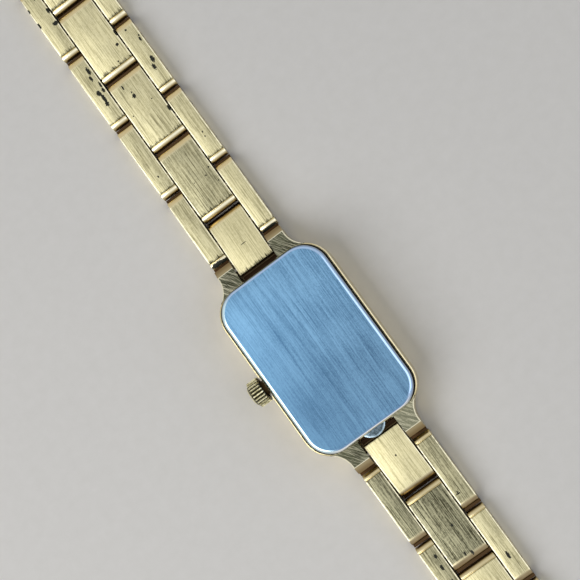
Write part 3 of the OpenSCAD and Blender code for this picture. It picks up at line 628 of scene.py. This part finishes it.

# %% [markdown]
# Wear, link by link
#
# Most of the pits in view are in the side plates of the strand at 12 o'clock.
# Each spot is (across, along, width, length) in the millimetres of its link, seen
# with 12 o'clock at the top. `WEAR` says how dull the brushing is on the left and
# on the right, from 0 for fresh plating. It is dullest on the second centre link
# of each strand. A link without an entry has the usual wear and no pits.
# The wide spots on the rolled bars of side_links_12_1 are not pits: they are painted shadow of the
# lug tips.

# %% Worn spots, and painted shadow of the lugs
SPOTS = {
    # These three spots lie on the rolled bars and are painted shadow of the lug tips.
    "side_links_12_1": [(-4.3, -2.22, 1.9, 0.56), (-3.3, -2.32, 1.2, 0.4), (4.0, -2.4, 2.5, 0.42)],
    "centre_link_12_1": [(0.1, 2.1, 0.8, 0.1)],
    "centre_link_12_2": [(2.15, 3.1, 0.24, 0.2), (1.25, 2.4, 0.2, 0.2), (2.2, 0.9, 0.16, 0.22),
                         (-0.6, 2.5, 0.14, 0.16)],
    "side_links_12_2": [(-3.95, 0.4, 0.22, 0.3), (4.2, 1.6, 0.16, 0.3), (4.15, 0.9, 0.2, 0.2)],
    "centre_link_12_3": [(-0.3, 5.2, 0.46, 0.7), (-0.3, 5.8, 0.16, 0.3), (-0.9, 7.0, 0.24, 0.7),
                         (-1.95, 3.1, 0.15, 0.2), (1.4, 3.5, 0.2, 0.15), (2.5, 1.1, 0.35, 0.85)],
    "side_links_12_3": [(-3.3, 5.9, 0.42, 1.15), (-3.6, 4.9, 0.36, 0.8), (-3.05, 3.5, 0.3, 0.8),
                        (-3.15, 2.7, 0.36, 0.7), (-3.9, 2.7, 0.55, 0.75), (-3.7, 1.7, 0.42, 1.8),
                        (-3.8, 0.9, 0.5, 0.7), (4.75, 5.1, 0.28, 0.65), (4.9, 5.6, 0.2, 0.3),
                        (4.5, 2.0, 0.54, 1.0), (4.1, 1.0, 0.42, 0.9), (3.87, 7.2, 0.26, 0.26)],
    "centre_link_12_4": [(1.86, 0.7, 0.5, 0.4), (0.7, -1.2, 0.22, 0.24), (2.6, 2.1, 0.36, 0.95)],
    "side_links_12_4": [(-2.95, 4.4, 0.4, 0.8), (-3.1, 2.4, 0.9, 0.6), (-5.1, 3.4, 0.35, 1.0),
                        (-5.15, 5.8, 0.3, 0.6), (-3.6, 6.9, 0.2, 0.6)],
    "centre_link_6_1": [(0.0, 1.95, 0.22, 0.28)],
    "side_links_6_1": [(3.5, 6.2, 0.6, 0.16), (3.5, 6.0, 0.14, 0.5)],
    "centre_link_6_2": [(0.5, 3.3, 0.26, 0.42), (-0.3, 7.1, 0.26, 0.6), (0.55, 7.5, 0.32, 0.7)],
    "side_links_6_2": [(-3.55, -0.4, 0.42, 0.6), (-3.7, 1.2, 0.4, 0.75), (-3.6, 3.3, 0.32, 0.45),
                       (4.0, 4.6, 0.36, 1.0)],
    "side_links_6_3": [(-3.3, 2.2, 0.3, 0.7), (4.5, 5.5, 0.25, 0.4)],
    "centre_link_6_4": [(1.1, 4.0, 0.25, 0.5)],
    "side_links_12_5": [(-4.4, 3.0, 0.3, 0.6), (3.4, 5.0, 0.25, 0.5)],
}
USUAL_WEAR = (0.28, 0.32)
WEAR = {
    "centre_link_12_1": (0.04, 0.04), "side_links_12_1": (0.44, 0.28),
    "centre_link_12_2": (0.62, 0.62), "side_links_12_2": (0.45, 0.36),
    "centre_link_12_3": (0.36, 0.36), "side_links_12_3": (0.36, 0.34),
    "centre_link_12_4": (0.22, 0.22), "side_links_12_4": (0.34, 0.3),
    "centre_link_6_1": (0.12, 0.12), "side_links_6_1": (1.0, 0.72),
    "centre_link_6_2": (1.3, 1.3), "side_links_6_2": (0.7, 0.38),
    "centre_link_6_3": (0.2, 0.2),
}
print("pits:", sum(len(spots) for spots in SPOTS.values()))

# %% [markdown]
# The bracelet
#
# Side plates sit half a pitch further out than the centre link beside them, so
# the three rows interlock like brickwork. Each node of the drawing is replaced
# by one piece of the same name, so that the piece swings on the same joint.

# %% Pin steel
PIN_STEEL = tone(150, 146, 136)
steel = Finish("pin steel", Metallic=1.0, Base_Color=PIN_STEEL)
grain = steel.noise(steel.here().stretched(3, 20, 20))
steel.set(Roughness=grain * 0.25 + 0.25)
print("pin steel:", len(steel.tree.nodes), "nodes")

# %% Build both strands
for side in (1, -1):
    for k in range(2 * pairs):
        link = Link(k, side)
        gold = worn_gold(link, WEAR.get(link.name, USUAL_WEAR), SPOTS.get(link.name, ()))
        middles = [0] if link.is_centre else [-side_x, side_x]
        parts = [link_plate(link, middle) for middle in middles]
        finishes = [gold] * len(parts)
        if not link.is_centre:
            parts += [link_pin(0), link_pin(half_pitch)]
            finishes += [steel.material] * 2
        made = piece(link.name + "_shaped", parts, link.place(), finishes)
        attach(made, link.name)
        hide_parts(link.name)
    print("strand done, to", link.name)

# %% [markdown]
# The back
#
# A pressed steel plate with round corners and a polished rim all round, which
# curves over like a quarter of an ellipse. A rectangle with bevelled corners
# gives the plan. The plan is pulled up to the rim, and then inset and raised in
# small steps for the curve, because a bevel would make it as wide as it is high.
# A round lip to open the back by stands out at 6 o'clock, and a hollow skirt
# underneath presses into the case.

# %% Sizes of the skirt, in millimetres
skirt_play, skirt_sunk, skirt_h = 0.05, 0.05, 0.65
skirt_wall, skirt_hollow, skirt_r = 0.5, 0.6, 2.25
skirt_w = case_w - 2 * side_wall - 2 * skirt_play
skirt_l = case_l - 2 * end_wall - 2 * skirt_play
corner_steps, rim_steps = 14, 7
print("skirt", round(skirt_w, 2), "x", round(skirt_l, 2), "mm")


# %% Plate, lip and skirt
def round_cornered(width, length, radius, z):
    """A flat face with round corners at height z."""
    bm = bmesh.new()
    bmesh.ops.create_grid(bm, x_segments=1, y_segments=1, size=0.5)
    bmesh.ops.scale(bm, vec=(width, length, 1), verts=bm.verts)
    bmesh.ops.translate(bm, vec=(0, 0, z), verts=bm.verts)
    bmesh.ops.bevel(bm, geom=bm.verts[:], offset=radius, segments=corner_steps, profile=0.5,
                    affect="VERTICES", material=-1)
    return bm


plate = round_cornered(back_w, back_l, back_r, back_z)
top = pulled(plate, plate.faces[:], (0, 0, back_rim_t))
bmesh.ops.recalc_face_normals(plate, faces=plate.faces)
for step in range(rim_steps):
    before, after = (math.pi / 2 * n / rim_steps for n in (step, step + 1))
    bmesh.ops.inset_region(plate, faces=top,
                           thickness=back_bevel * (math.cos(before) - math.cos(after)),
                           depth=(back_h - back_rim_t) * (math.sin(after) - math.sin(before)),
                           use_even_offset=True, use_boundary=True)
foot = [e for e in sharp_edges(plate, 1.0) if min(v.co.z for v in e.verts) < back_z + near]
rounded(plate, foot, foot_round, 2)

lip = bmesh.new()
bmesh.ops.create_cone(lip, cap_ends=True, segments=64, radius1=lip_r, radius2=lip_r, depth=lip_t)
bmesh.ops.translate(lip, vec=(0, lip_y, back_z + lip_t / 2), verts=lip.verts)
rounded(lip, sharp_edges(lip, 1.0), lip_round, 3)

skirt = round_cornered(skirt_w, skirt_l, skirt_r, back_z + skirt_sunk)
low = pulled(skirt, skirt.faces[:], (0, 0, -skirt_h))
bmesh.ops.recalc_face_normals(skirt, faces=skirt.faces)
bmesh.ops.inset_region(skirt, faces=low, thickness=skirt_wall, use_even_offset=True)
pulled(skirt, low, (0, 0, skirt_hollow))
print("back plate:", len(plate.faces), "faces")

# %% [markdown]
# Steel of the back
#
# The face is brushed along the watch, and its pale blue is a painted reflection
# of the sky, lighter towards 12 o'clock and away from the crown. The brushing is
# four noises of different lengths and a fine grit, and a few slanting scuffs
# cross it. The polished rim's colours are painted reflections of a different
# part of the room on each side, so its colour follows its height and its side;
# its foot is painted shade.

# %% Colours of the back
# The face's pale blue is a painted reflection of the sky, lighter towards 12 o'clock and away from
# the crown.
SKY_REFLECTION_6, SKY_REFLECTION_12, SKY_REFLECTION_FAR = tone(95, 133, 163), tone(120, 164, 198), tone(150, 196, 232)
STREAK_6, STREAK_12 = tone(66, 98, 128), tone(76, 116, 150)
GLINT, SCUFF = tone(150, 192, 222), tone(70, 104, 134)
# The rim's colours are painted reflections, and its foot is painted shade.
RIM_FOOT_SHADE, RIM_WALL = tone(40, 44, 52), tone(150, 164, 192)
RIM_CROWN_SIDE, RIM_FAR_SIDE = tone(222, 248, 255), tone(176, 204, 238)
RIM_12_OUTER, RIM_12_INNER = tone(108, 122, 140), tone(178, 202, 236)
RIM_6_OUTER, RIM_6_INNER = tone(255, 255, 255), tone(112, 150, 192)
LIP_DARK, LIP_LIGHT, LIP_EDGE_HIGHLIGHT = tone(72, 86, 92), tone(112, 130, 142), tone(186, 210, 226)
scuff_angle = 58
print("scuffs are turned by", scuff_angle, "degrees from the strap")

# %% Brushed face of the back
back = Finish("brushed back", Metallic=1.0)
point = back.here()
x, y, z = point.parts()
hair = back.noise(point.stretched(26, 0.3, 26), detail=3.0, roughness=0.7)
thread = back.noise(point.stretched(9, 0.12, 9), detail=2.0, roughness=0.6)
band = back.noise(point.stretched(2.2, 0.05, 2.2), detail=2.0, roughness=0.5)
haze = back.noise(point.stretched(0.22, 0.16, 0.22), detail=3.0, roughness=0.5)
grit = back.noise(point.stretched(8, 5, 8), detail=3.0, roughness=0.7)
brush = hair * 0.3 + thread * 0.22 + grit * 0.2 + band * 0.14 + haze * 0.14
# Painted reflection: the blue grows lighter towards 12 o'clock and away from the crown.
to_12 = y.ramp(-9, 9)
light = back.blend(x.ramp(-7, 5) * 0.3, back.blend(to_12, SKY_REFLECTION_6, SKY_REFLECTION_12), SKY_REFLECTION_FAR)
face_colour = back.blend(brush.ramp(0.38, 0.58), back.blend(to_12, STREAK_6, STREAK_12), light)
face_colour = back.blend(brush.ramp(0.58, 0.72) * 0.5, face_colour, GLINT)
scuff = back.noise(point.turned(scuff_angle).stretched(7, 0.14, 1), detail=2.0, roughness=0.6)
scuff = scuff.ramp(0.67, 0.74) * haze.ramp(0.45, 0.62)
face_colour = back.blend(scuff * 0.5, face_colour, SCUFF)
print("brushed face:", len(back.tree.nodes), "nodes")

# %% Polished rim of the back
# Painted light on the rim: painted shade at its foot, and painted reflections that differ by side
# and height, with a white painted highlight at 6 o'clock.
wall = back.blend(z.ramp(back_z + 0.1, rim_z + 0.1), RIM_FOOT_SHADE, RIM_WALL)
long_sides = back.blend(x.ramp(-4, 4), RIM_CROWN_SIDE, RIM_FAR_SIDE)
rim = back.blend(z.ramp(rim_z + 0.1, top_z - 0.1), wall, long_sides)
rim_12 = back.blend(z.ramp(top_z - 0.24, top_z - 0.08), RIM_12_OUTER, RIM_12_INNER)
rim_6 = back.blend(z.ramp(top_z - 0.1, top_z - 0.035), RIM_6_OUTER, RIM_6_INNER)
short_side = abs(y).ramp(back_l / 2 - 1.3, back_l / 2 - 0.7)
short_side = short_side * abs(x).ramp(back_w / 2 - 1.2, back_w / 2 - 3)
rim = back.blend(short_side * 0.9, rim, back.blend(y.ramp(-1, 1), rim_6, rim_12))
on_face = z.ramp(top_z - 0.018, top_z - 0.004)
back.set(Base_Color=back.blend(on_face, rim, face_colour),
         Roughness=on_face * (hair * 0.16 + 0.24) + 0.12,
         Normal=back.bump((hair * 0.6 + thread * 0.4) * on_face, 0.008))
print("with its rim:", len(back.tree.nodes), "nodes")

# %% Steel of the lip
lip_steel = Finish("lip steel", Metallic=1.0)
point = lip_steel.here()
x, y, z = point.parts()
along = y - lip_y
out = (x * x + along * along) ** 0.5
stain = lip_steel.noise(point, 2.2, detail=3.0, roughness=0.6)
# A painted highlight on the lip's rounded edge, broken up by the stain.
at_edge = out.ramp(lip_r - 0.3, lip_r - 0.1) * stain.ramp(0.3, 0.6, 0.5, 0.9)
colour = lip_steel.blend(stain.ramp(0.36, 0.64), LIP_DARK, LIP_LIGHT)
lip_steel.set(Base_Color=lip_steel.blend(at_edge, colour, LIP_EDGE_HIGHLIGHT),
              Roughness=stain * 0.2 + 0.16, Normal=lip_steel.bump(stain, 0.02))
print("lip steel:", len(lip_steel.tree.nodes), "nodes")

# %% Build the back
back_plate = piece("back_cover_shaped", [plate, lip, skirt],
                   materials=[back.material, lip_steel.material])
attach(back_plate, "case")
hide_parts("back_cover")
print("back:", len(back_plate.data.polygons), "faces")

# %% [markdown]
# The case
#
# The drawing's own mesh is right for the case, so it only gets a finish. It is
# polished gold plate on its sides. The narrow ledge round the back is mottled
# dark grey, with painted shadow along the steel, and the outer edge has a
# painted highlight. The end wall between the lugs is painted shade. The backs of
# the lugs are rougher and darker, with slanting scratches from the polishing
# wheel, a painted highlight along their edges and a tan bevel at their tips. One
# finish does all this, with masks that follow the case's own sizes.

# %% Colours of the case
CASE_DARK, CASE_LIGHT = tone(216, 201, 154), tone(232, 218, 172)
LEDGE_DARK, LEDGE_LIGHT, RIM_SHADOW = tone(36, 36, 26), tone(128, 126, 106), tone(14, 15, 14)
CASE_EDGE_HIGHLIGHT = tone(255, 246, 218)
LUG_DARK, LUG_LIGHT, LUG_BRIGHT = tone(58, 60, 44), tone(92, 94, 74), tone(150, 150, 126)
LUG_SCRATCH, LUG_RIDGE_HIGHLIGHT = tone(216, 212, 184), tone(244, 238, 210)
TIP_INNER, TIP_OUTER = tone(172, 156, 120), tone(136, 116, 82)
END_WALL_SHADE = tone(50, 30, 18)
wheel_angle, fine_wheel_angle = -38, -24
print("scratches on the lugs are turned by", wheel_angle, "and", fine_wheel_angle, "degrees")

# %% Where the parts of the case lie
case = Finish("case gold", Metallic=1.0)
point = case.here()
x, y, z = point.parts()
up = case.upward()
beyond = abs(y).ramp(back_l / 2 - 0.5, back_l / 2 + 0.1)
lug_inner_x, tip_crease = side_x - side_w / 2, lug_tip_y - lug_bevel_l
lug = beyond * abs(x).ramp(lug_inner_x - 0.4, lug_inner_x - 0.1) * up.ramp(0.6, 0.8)
tip = abs(y).ramp(tip_crease - 0.03, tip_crease + 0.03)

flare_x = strand_w / 2 + lug_flare_r
corner_x, corner_y = case_w / 2 - case_corner_r, case_l / 2 - case_corner_r
flare_y = corner_y + math.sqrt((case_corner_r + lug_flare_r) ** 2 - (flare_x - corner_x) ** 2)
dx, dy = abs(x) - flare_x, (abs(y) - flare_y).least(0)
inside_flare = (dx * dx + dy * dy) ** 0.5 - lug_flare_r
ridge = abs(abs(y) - tip_crease).ramp(0.13, 0.05).most(inside_flare.ramp(0.17, 0.08))

from_x = (abs(x) - (back_w / 2 - back_r)).most(0)
from_y = (abs(y) - (back_l / 2 - back_r)).most(0)
from_rim = (from_x * from_x + from_y * from_y) ** 0.5 - back_r
ledge = up.ramp(0.9, 0.985) * z.ramp(back_z - 0.3, back_z - 0.1)
outer_edge = z.ramp(back_z - 0.4, back_z - 0.25) * from_rim.ramp(0.32, 0.39) * (1 - beyond)
end_wall_face = beyond * abs(x).ramp(lug_inner_x + 0.1, lug_inner_x - 0.1)
print("the flares' centres are at", round(flare_x, 2), round(flare_y, 2))

# %% Polished sides and the ledge round the back
cloud = case.noise(point, 0.6, detail=3.0, roughness=0.55)
# The ledge round the back is mottled dark grey.
ledge_mottle = case.noise(point, 5.0, detail=3.0, roughness=0.7)
gold = case.blend(cloud.ramp(0.3, 0.7), CASE_DARK, CASE_LIGHT)
gold = case.blend(ledge, gold, case.blend(ledge_mottle.ramp(0.4, 0.62), LEDGE_DARK, LEDGE_LIGHT))
# Painted shadow on the ledge along the steel rim.
gold = case.blend(ledge * from_rim.ramp(0.18, 0.1), gold, RIM_SHADOW)
# A painted highlight along the case's outer edge.
gold = case.blend(outer_edge, gold, CASE_EDGE_HIGHLIGHT)
# Painted shade on the end wall between the lugs.
gold = case.blend(end_wall_face, gold, END_WALL_SHADE)
print("polished case:", len(case.tree.nodes), "nodes")

# %% Backs of the lugs
lines = case.noise(point.turned(wheel_angle).stretched(8, 0.12, 1), detail=3.0, roughness=0.6)
fine = case.noise(point.turned(fine_wheel_angle).stretched(16, 0.2, 1), detail=2.0, roughness=0.6)
scratch = (lines * 0.6 + fine * 0.4).ramp(0.47, 0.6)
bright_lug, dim_lug = x.ramp(-1, 1) * y.ramp(1, -1), (x * y).ramp(-10, 10)
lug_gold = case.blend(cloud.ramp(0.3, 0.7), LUG_DARK, LUG_LIGHT)
lug_gold = case.blend(bright_lug * 0.6, lug_gold, LUG_BRIGHT)
lug_gold = case.blend(scratch * (0.85 - dim_lug * 0.3), lug_gold, LUG_SCRATCH)
tip_gold = case.blend(abs(y).ramp(tip_crease, lug_tip_y - 0.1), TIP_INNER, TIP_OUTER)
lug_gold = case.blend(tip, lug_gold, tip_gold)
# A painted highlight along the lugs' edges and flares.
lug_gold = case.blend(ridge * (1 - tip) * 0.9, lug_gold, LUG_RIDGE_HIGHLIGHT)
case.set(Base_Color=case.blend(lug, gold, lug_gold), Roughness=lug * 0.16 + cloud * 0.12 + 0.12,
         Normal=case.bump((lines + fine) * 0.5 * lug * (1 - tip) + cloud * 0.2, 0.01, 0.07))
print("with its lugs:", len(case.tree.nodes), "nodes")

# %% [markdown]
# The crown
#
# The crown's flutes are worn bright on their ridges, and the grooves between
# them are nearly black. A point's distance from the crown's axis tells ridge
# from groove. The end face is worn evenly, so its mottling is held back.

# %% Gold of the crown
CROWN_DARK, CROWN_LIGHT, GROOVE = tone(176, 168, 122), tone(250, 244, 206), tone(24, 20, 10)
crown = Finish("crown gold", Metallic=1.0)
point = crown.here()
x, y, z = point.parts()
high = z - crown_z
out = (y * y + high * high) ** 0.5
worn = crown.noise(point, 3.0, detail=3.0, roughness=0.6)
flute_top = out.ramp(crown_r - 0.14, crown_r - 0.02)
end_face = x.ramp(crown_end_x + 0.3, crown_end_x + 0.1)
skin = crown.blend(worn.ramp(0.35, 0.65, end_face * 0.6), CROWN_DARK, CROWN_LIGHT)
groove = crown.blend(end_face, GROOVE, skin)
crown.set(Base_Color=crown.blend(flute_top, groove, skin), Roughness=worn * 0.2 + 0.18,
          Normal=crown.bump(worn, 0.006))
print("crown:", len(crown.tree.nodes), "nodes")

# %% [markdown]
# The clasp
#
# The clasp is out of the photograph, so it follows the links: its broad faces
# are brushed along the strap and its edges are polished. The brushing shows only
# where the surface is nearly level.

# %% Gold of the clasp
CLASP_DARK, CLASP_LIGHT = tone(160, 152, 116), tone(208, 200, 160)
CLASP_DULL, CLASP_POLISHED = tone(124, 120, 94), tone(226, 214, 170)
clasp = Finish("clasp gold", Metallic=1.0)
point = clasp.here()
level = abs(clasp.upward()).ramp(0.8, 0.97)
hair = clasp.noise(point.stretched(14, 0.3, 14), detail=3.0, roughness=0.65)
streak = clasp.noise(point.stretched(4.6, 0.12, 4.6), detail=2.0, roughness=0.6)
cloud = clasp.noise(point.stretched(0.5, 0.3, 0.5), detail=3.0, roughness=0.55)
brushed = clasp.blend((hair * 0.5 + streak * 0.5).ramp(0.41, 0.58), CLASP_DARK, CLASP_LIGHT)
brushed = clasp.blend(cloud.ramp(0.35, 0.7) * 0.35, brushed, CLASP_DULL)
clasp.set(Base_Color=clasp.blend(level, CLASP_POLISHED, brushed),
          Roughness=level * (hair * 0.14 + 0.22) + 0.2,
          Normal=clasp.bump((hair * 0.6 + streak * 0.4) * level, 0.014, 0.07))
print("clasp:", len(clasp.tree.nodes), "nodes")

# %% [markdown]
# The other finishes
#
# The dial side and the movement are made of plainer stuff: paint, glass, rubber,
# brass, steel, copper wire and a green circuit board. Each gets one colour that
# varies a little in tone and gloss, because even a painted dial isn't perfectly
# even. A coil is finely striped across its length, as wire is.


# %% Plain finishes
def plain(name, colour, rough, fleck=0.08, scale=2.0, metallic=1.0, stretch=(1, 1, 1), **more):
    """A finish of one colour, whose tone and gloss vary a little over the piece."""
    f = Finish(name, Metallic=metallic, **more)
    mottle = f.noise(f.here().stretched(*stretch), scale, detail=3.0, roughness=0.55)
    dark = tuple(c * (1 - 2.5 * fleck) for c in colour[:3]) + (1,)
    f.set(Base_Color=f.blend(mottle.ramp(0.3, 0.7), dark, colour),
          Roughness=mottle * 0.2 + rough - 0.1, Normal=f.bump(mottle, 0.004))
    return f.material


looks = {
    "case_body": case.material,
    "crown": crown.material,
    "clasp_base": clasp.material,
    "dial_markers": plain("marker gold", tone(236, 208, 140), 0.2),
    "dial": plain("dial paint", tone(232, 224, 202), 0.45, fleck=0.03, scale=6.0, metallic=0.0),
    "hour_hand": plain("hand paint", tone(34, 30, 26), 0.3, fleck=0.1, scale=4.0, metallic=0.0),
    "crystal": plain("crystal glass", tone(250, 252, 252), 0.12, fleck=0.0, metallic=0.0,
                     Transmission_Weight=1.0, IOR=1.52),
    "crystal_gasket": plain("white seal", tone(224, 222, 212), 0.5, fleck=0.05, scale=3.0,
                            metallic=0.0),
    "back_gasket": plain("black rubber", tone(28, 28, 28), 0.7, fleck=0.1, scale=3.0,
                         metallic=0.0),
    "movement_ring": plain("white plastic", tone(230, 230, 224), 0.45, fleck=0.03,
                           metallic=0.0),
    "main_plate": plain("brass", tone(206, 172, 104), 0.34, scale=1.5),
    "circuit_block": plain("circuit board", tone(30, 92, 56), 0.5, fleck=0.12, scale=4.0,
                           metallic=0.0),
    "coil": plain("copper wire", tone(190, 112, 66), 0.35, fleck=0.15, scale=1.0,
                  stretch=(24, 1, 1)),
    # The crown tube is dark as painted shade, for the shadow between the crown and the case.
    "crown_tube": plain("brass in painted shade", tone(70, 56, 34), 0.5, fleck=0.1),
    "battery": plain("battery steel", tone(190, 190, 188), 0.28, fleck=0.05, scale=1.0,
                     stretch=(2, 12, 2)),
}
print("finishes:", len(looks))

# %% Give every CAD piece its finish
same = {
    "clasp_base": ["clasp_lid", "end_loop"],
    "hour_hand": ["minute_hand"],
    "back_gasket": ["crown_gasket"],
    "main_plate": ["intermediate_wheel", "centre_wheel", "minute_wheel", "hour_wheel"],
    "battery": ["stem", "train_bridge", "movement_screws", "stator", "rotor", "battery_clamp",
                "spring_bars", "clasp_hinge_pin"],
}
for first, others in same.items():
    looks.update({other: looks[first] for other in others})
for name, material in looks.items():
    mesh = nodes[name].data
    mesh.materials.clear()
    mesh.materials.append(material)
print("CAD pieces with a finish:", len(looks))

# %% [markdown]
# Ledges on the lug tips
#
# The gap between a lug and the first side link is dark on the real bracelet,
# where it lies in shade. The side link swings round the spring bar with the
# first centre link and never comes nearer to that bar. So a narrow ledge at the
# bar's height, which the real lug doesn't have, can stand on each lug tip as
# painted shade and fill the gap with dark metal, as the shelf on each link does.
# It is a block with rounded edges, whose foot stands a little inside the lug.

# %% Four ledges
ledge_l, ledge_t, ledge_foot, ledge_inset = 0.42, 0.26, 0.1, 0.05
SHADED_GOLD = tone(64, 46, 28)
blocks = []
for across_x in (-side_x, side_x):
    for side in (1, -1):
        block = bmesh.new()
        bmesh.ops.create_cube(block, size=1)
        bmesh.ops.scale(block, vec=(side_w - 2 * ledge_inset, ledge_l + ledge_foot, ledge_t),
                        verts=block.verts)
        ledge_y = side * (lug_tip_y + (ledge_l - ledge_foot) / 2)
        bmesh.ops.translate(block, vec=(across_x, ledge_y, lug_pin_z), verts=block.verts)
        rounded(block, sharp_edges(block), ledge_round, 2)
        blocks.append(block)
# Painted shade: dark metal that the real lugs don't have, in the gap to the first side link.
shaded = plain("shaded gold", SHADED_GOLD, 0.45, fleck=0.1, scale=3.0)
ledges = piece("lug_shade_ledges", blocks, materials=[shaded])
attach(ledges, "case")
ledge_reach = math.hypot(lug_tip_y + ledge_l - lug_pin_y, ledge_t / 2)
print("a ledge reaches", round(ledge_reach, 2), "mm from the spring bar, and the side link",
      "starts at", round(first_span - link_end, 2))

# %% [markdown]
# Camera, floor and light
#
# The camera stands almost straight above the back, turned so that the strap
# runs from the upper left to the lower right. The floor is plain and pale. A
# large soft light stands half high on the crown's side, where the photographed
# window was: it lights the rolled bars and the crown's side of the rim. A second
# one across from it is dimmer and softens the shadows. The world gives a little
# light from everywhere, and looks pale where the camera or a reflection sees it.

# %% Camera
# Found by fitting a camera to corners in the photograph; FOCAL is in its pixels.
PICTURE, FOCAL, SENSOR = 580, 1400, 36
eye = Vector((20.0, -9.59, 179.95)) * MM
ahead = Vector((-0.1038, 0.0997, -0.9896)).normalized()
upward = Vector((0.5919, 0.8058, 0.0191)).normalized()
across = ahead.cross(upward).normalized()
upward = across.cross(ahead)
aim = Matrix((across, upward, -ahead)).transposed().to_4x4()
camera = bpy.data.objects.new("camera", bpy.data.cameras.new("camera"))
camera.data.sensor_width = SENSOR
camera.data.lens = SENSOR * FOCAL / PICTURE
camera.data.clip_start = 0.005
camera.matrix_world = Matrix.Translation(eye) @ aim
bpy.context.scene.collection.objects.link(camera)
bpy.context.scene.camera = camera
print("camera is", round(eye.length / MM), "mm away")

# %% Floor
PAPER_DARK, PAPER_LIGHT = tone(226, 224, 220), tone(234, 232, 229)
floor_size = 2000
paper = Finish("pale floor", Roughness=0.9, Specular_IOR_Level=0.2)
fleck = paper.noise(paper.here(), 0.6, detail=3.0, roughness=0.6)
paper.set(Base_Color=paper.blend(fleck, PAPER_DARK, PAPER_LIGHT))
sheet = bmesh.new()
bmesh.ops.create_grid(sheet, x_segments=1, y_segments=1, size=floor_size)
floor = piece("floor", [sheet], materials=[paper.material])
print("floor:", 2 * floor_size * MM, "m wide")


# %% Lights
def soft_light(name, place, size, power, colour=(1, 1, 1)):
    """A square area light of that size, at a place in millimetres, aimed at the watch."""
    lamp = bpy.data.lights.new(name, "AREA")
    lamp.shape, lamp.size, lamp.energy, lamp.color = "SQUARE", size * MM, power, colour
    holder = bpy.data.objects.new(name, lamp)
    holder.location = Vector(place) * MM
    holder.rotation_euler = (-Vector(place)).to_track_quat("-Z", "Y").to_euler()
    bpy.context.scene.collection.objects.link(holder)


soft_light("softbox", place=(-320, -50, 330), size=400, power=1.42, colour=(1.0, 0.99, 0.97))
soft_light("fill", place=(320, -120, 300), size=400, power=0.45)
print("lamps:", len(bpy.data.lights))

# %% World
SKY, SKY_POWER, SEEN, SEEN_POWER = (0.9, 0.94, 1.0, 1), 0.2, (1, 1, 1, 1), 0.8
world = bpy.data.worlds.new("studio")
world.use_nodes = True
bpy.context.scene.world = world
studio = Nodes(world.node_tree)
camera_ray, glossy_ray, glass_ray = (
    studio.add("LightPath", output="Is %s Ray" % kind) for kind in
    ("Camera", "Glossy", "Transmission"))
studio.add("OutputWorld", None, {"Surface": studio.add("MixShader", None, {
    0: camera_ray.most(glossy_ray).most(glass_ray),
    1: studio.add("Background", None, {"Color": SKY, "Strength": SKY_POWER}),
    2: studio.add("Background", None, {"Color": SEEN, "Strength": SEEN_POWER})})})
print("world:", len(studio.tree.nodes), "nodes")

# %% [markdown]
# Finish
#
# Colours are shown as they are written.

# %% Show the colours as written
bpy.context.scene.view_settings.view_transform = "Standard"
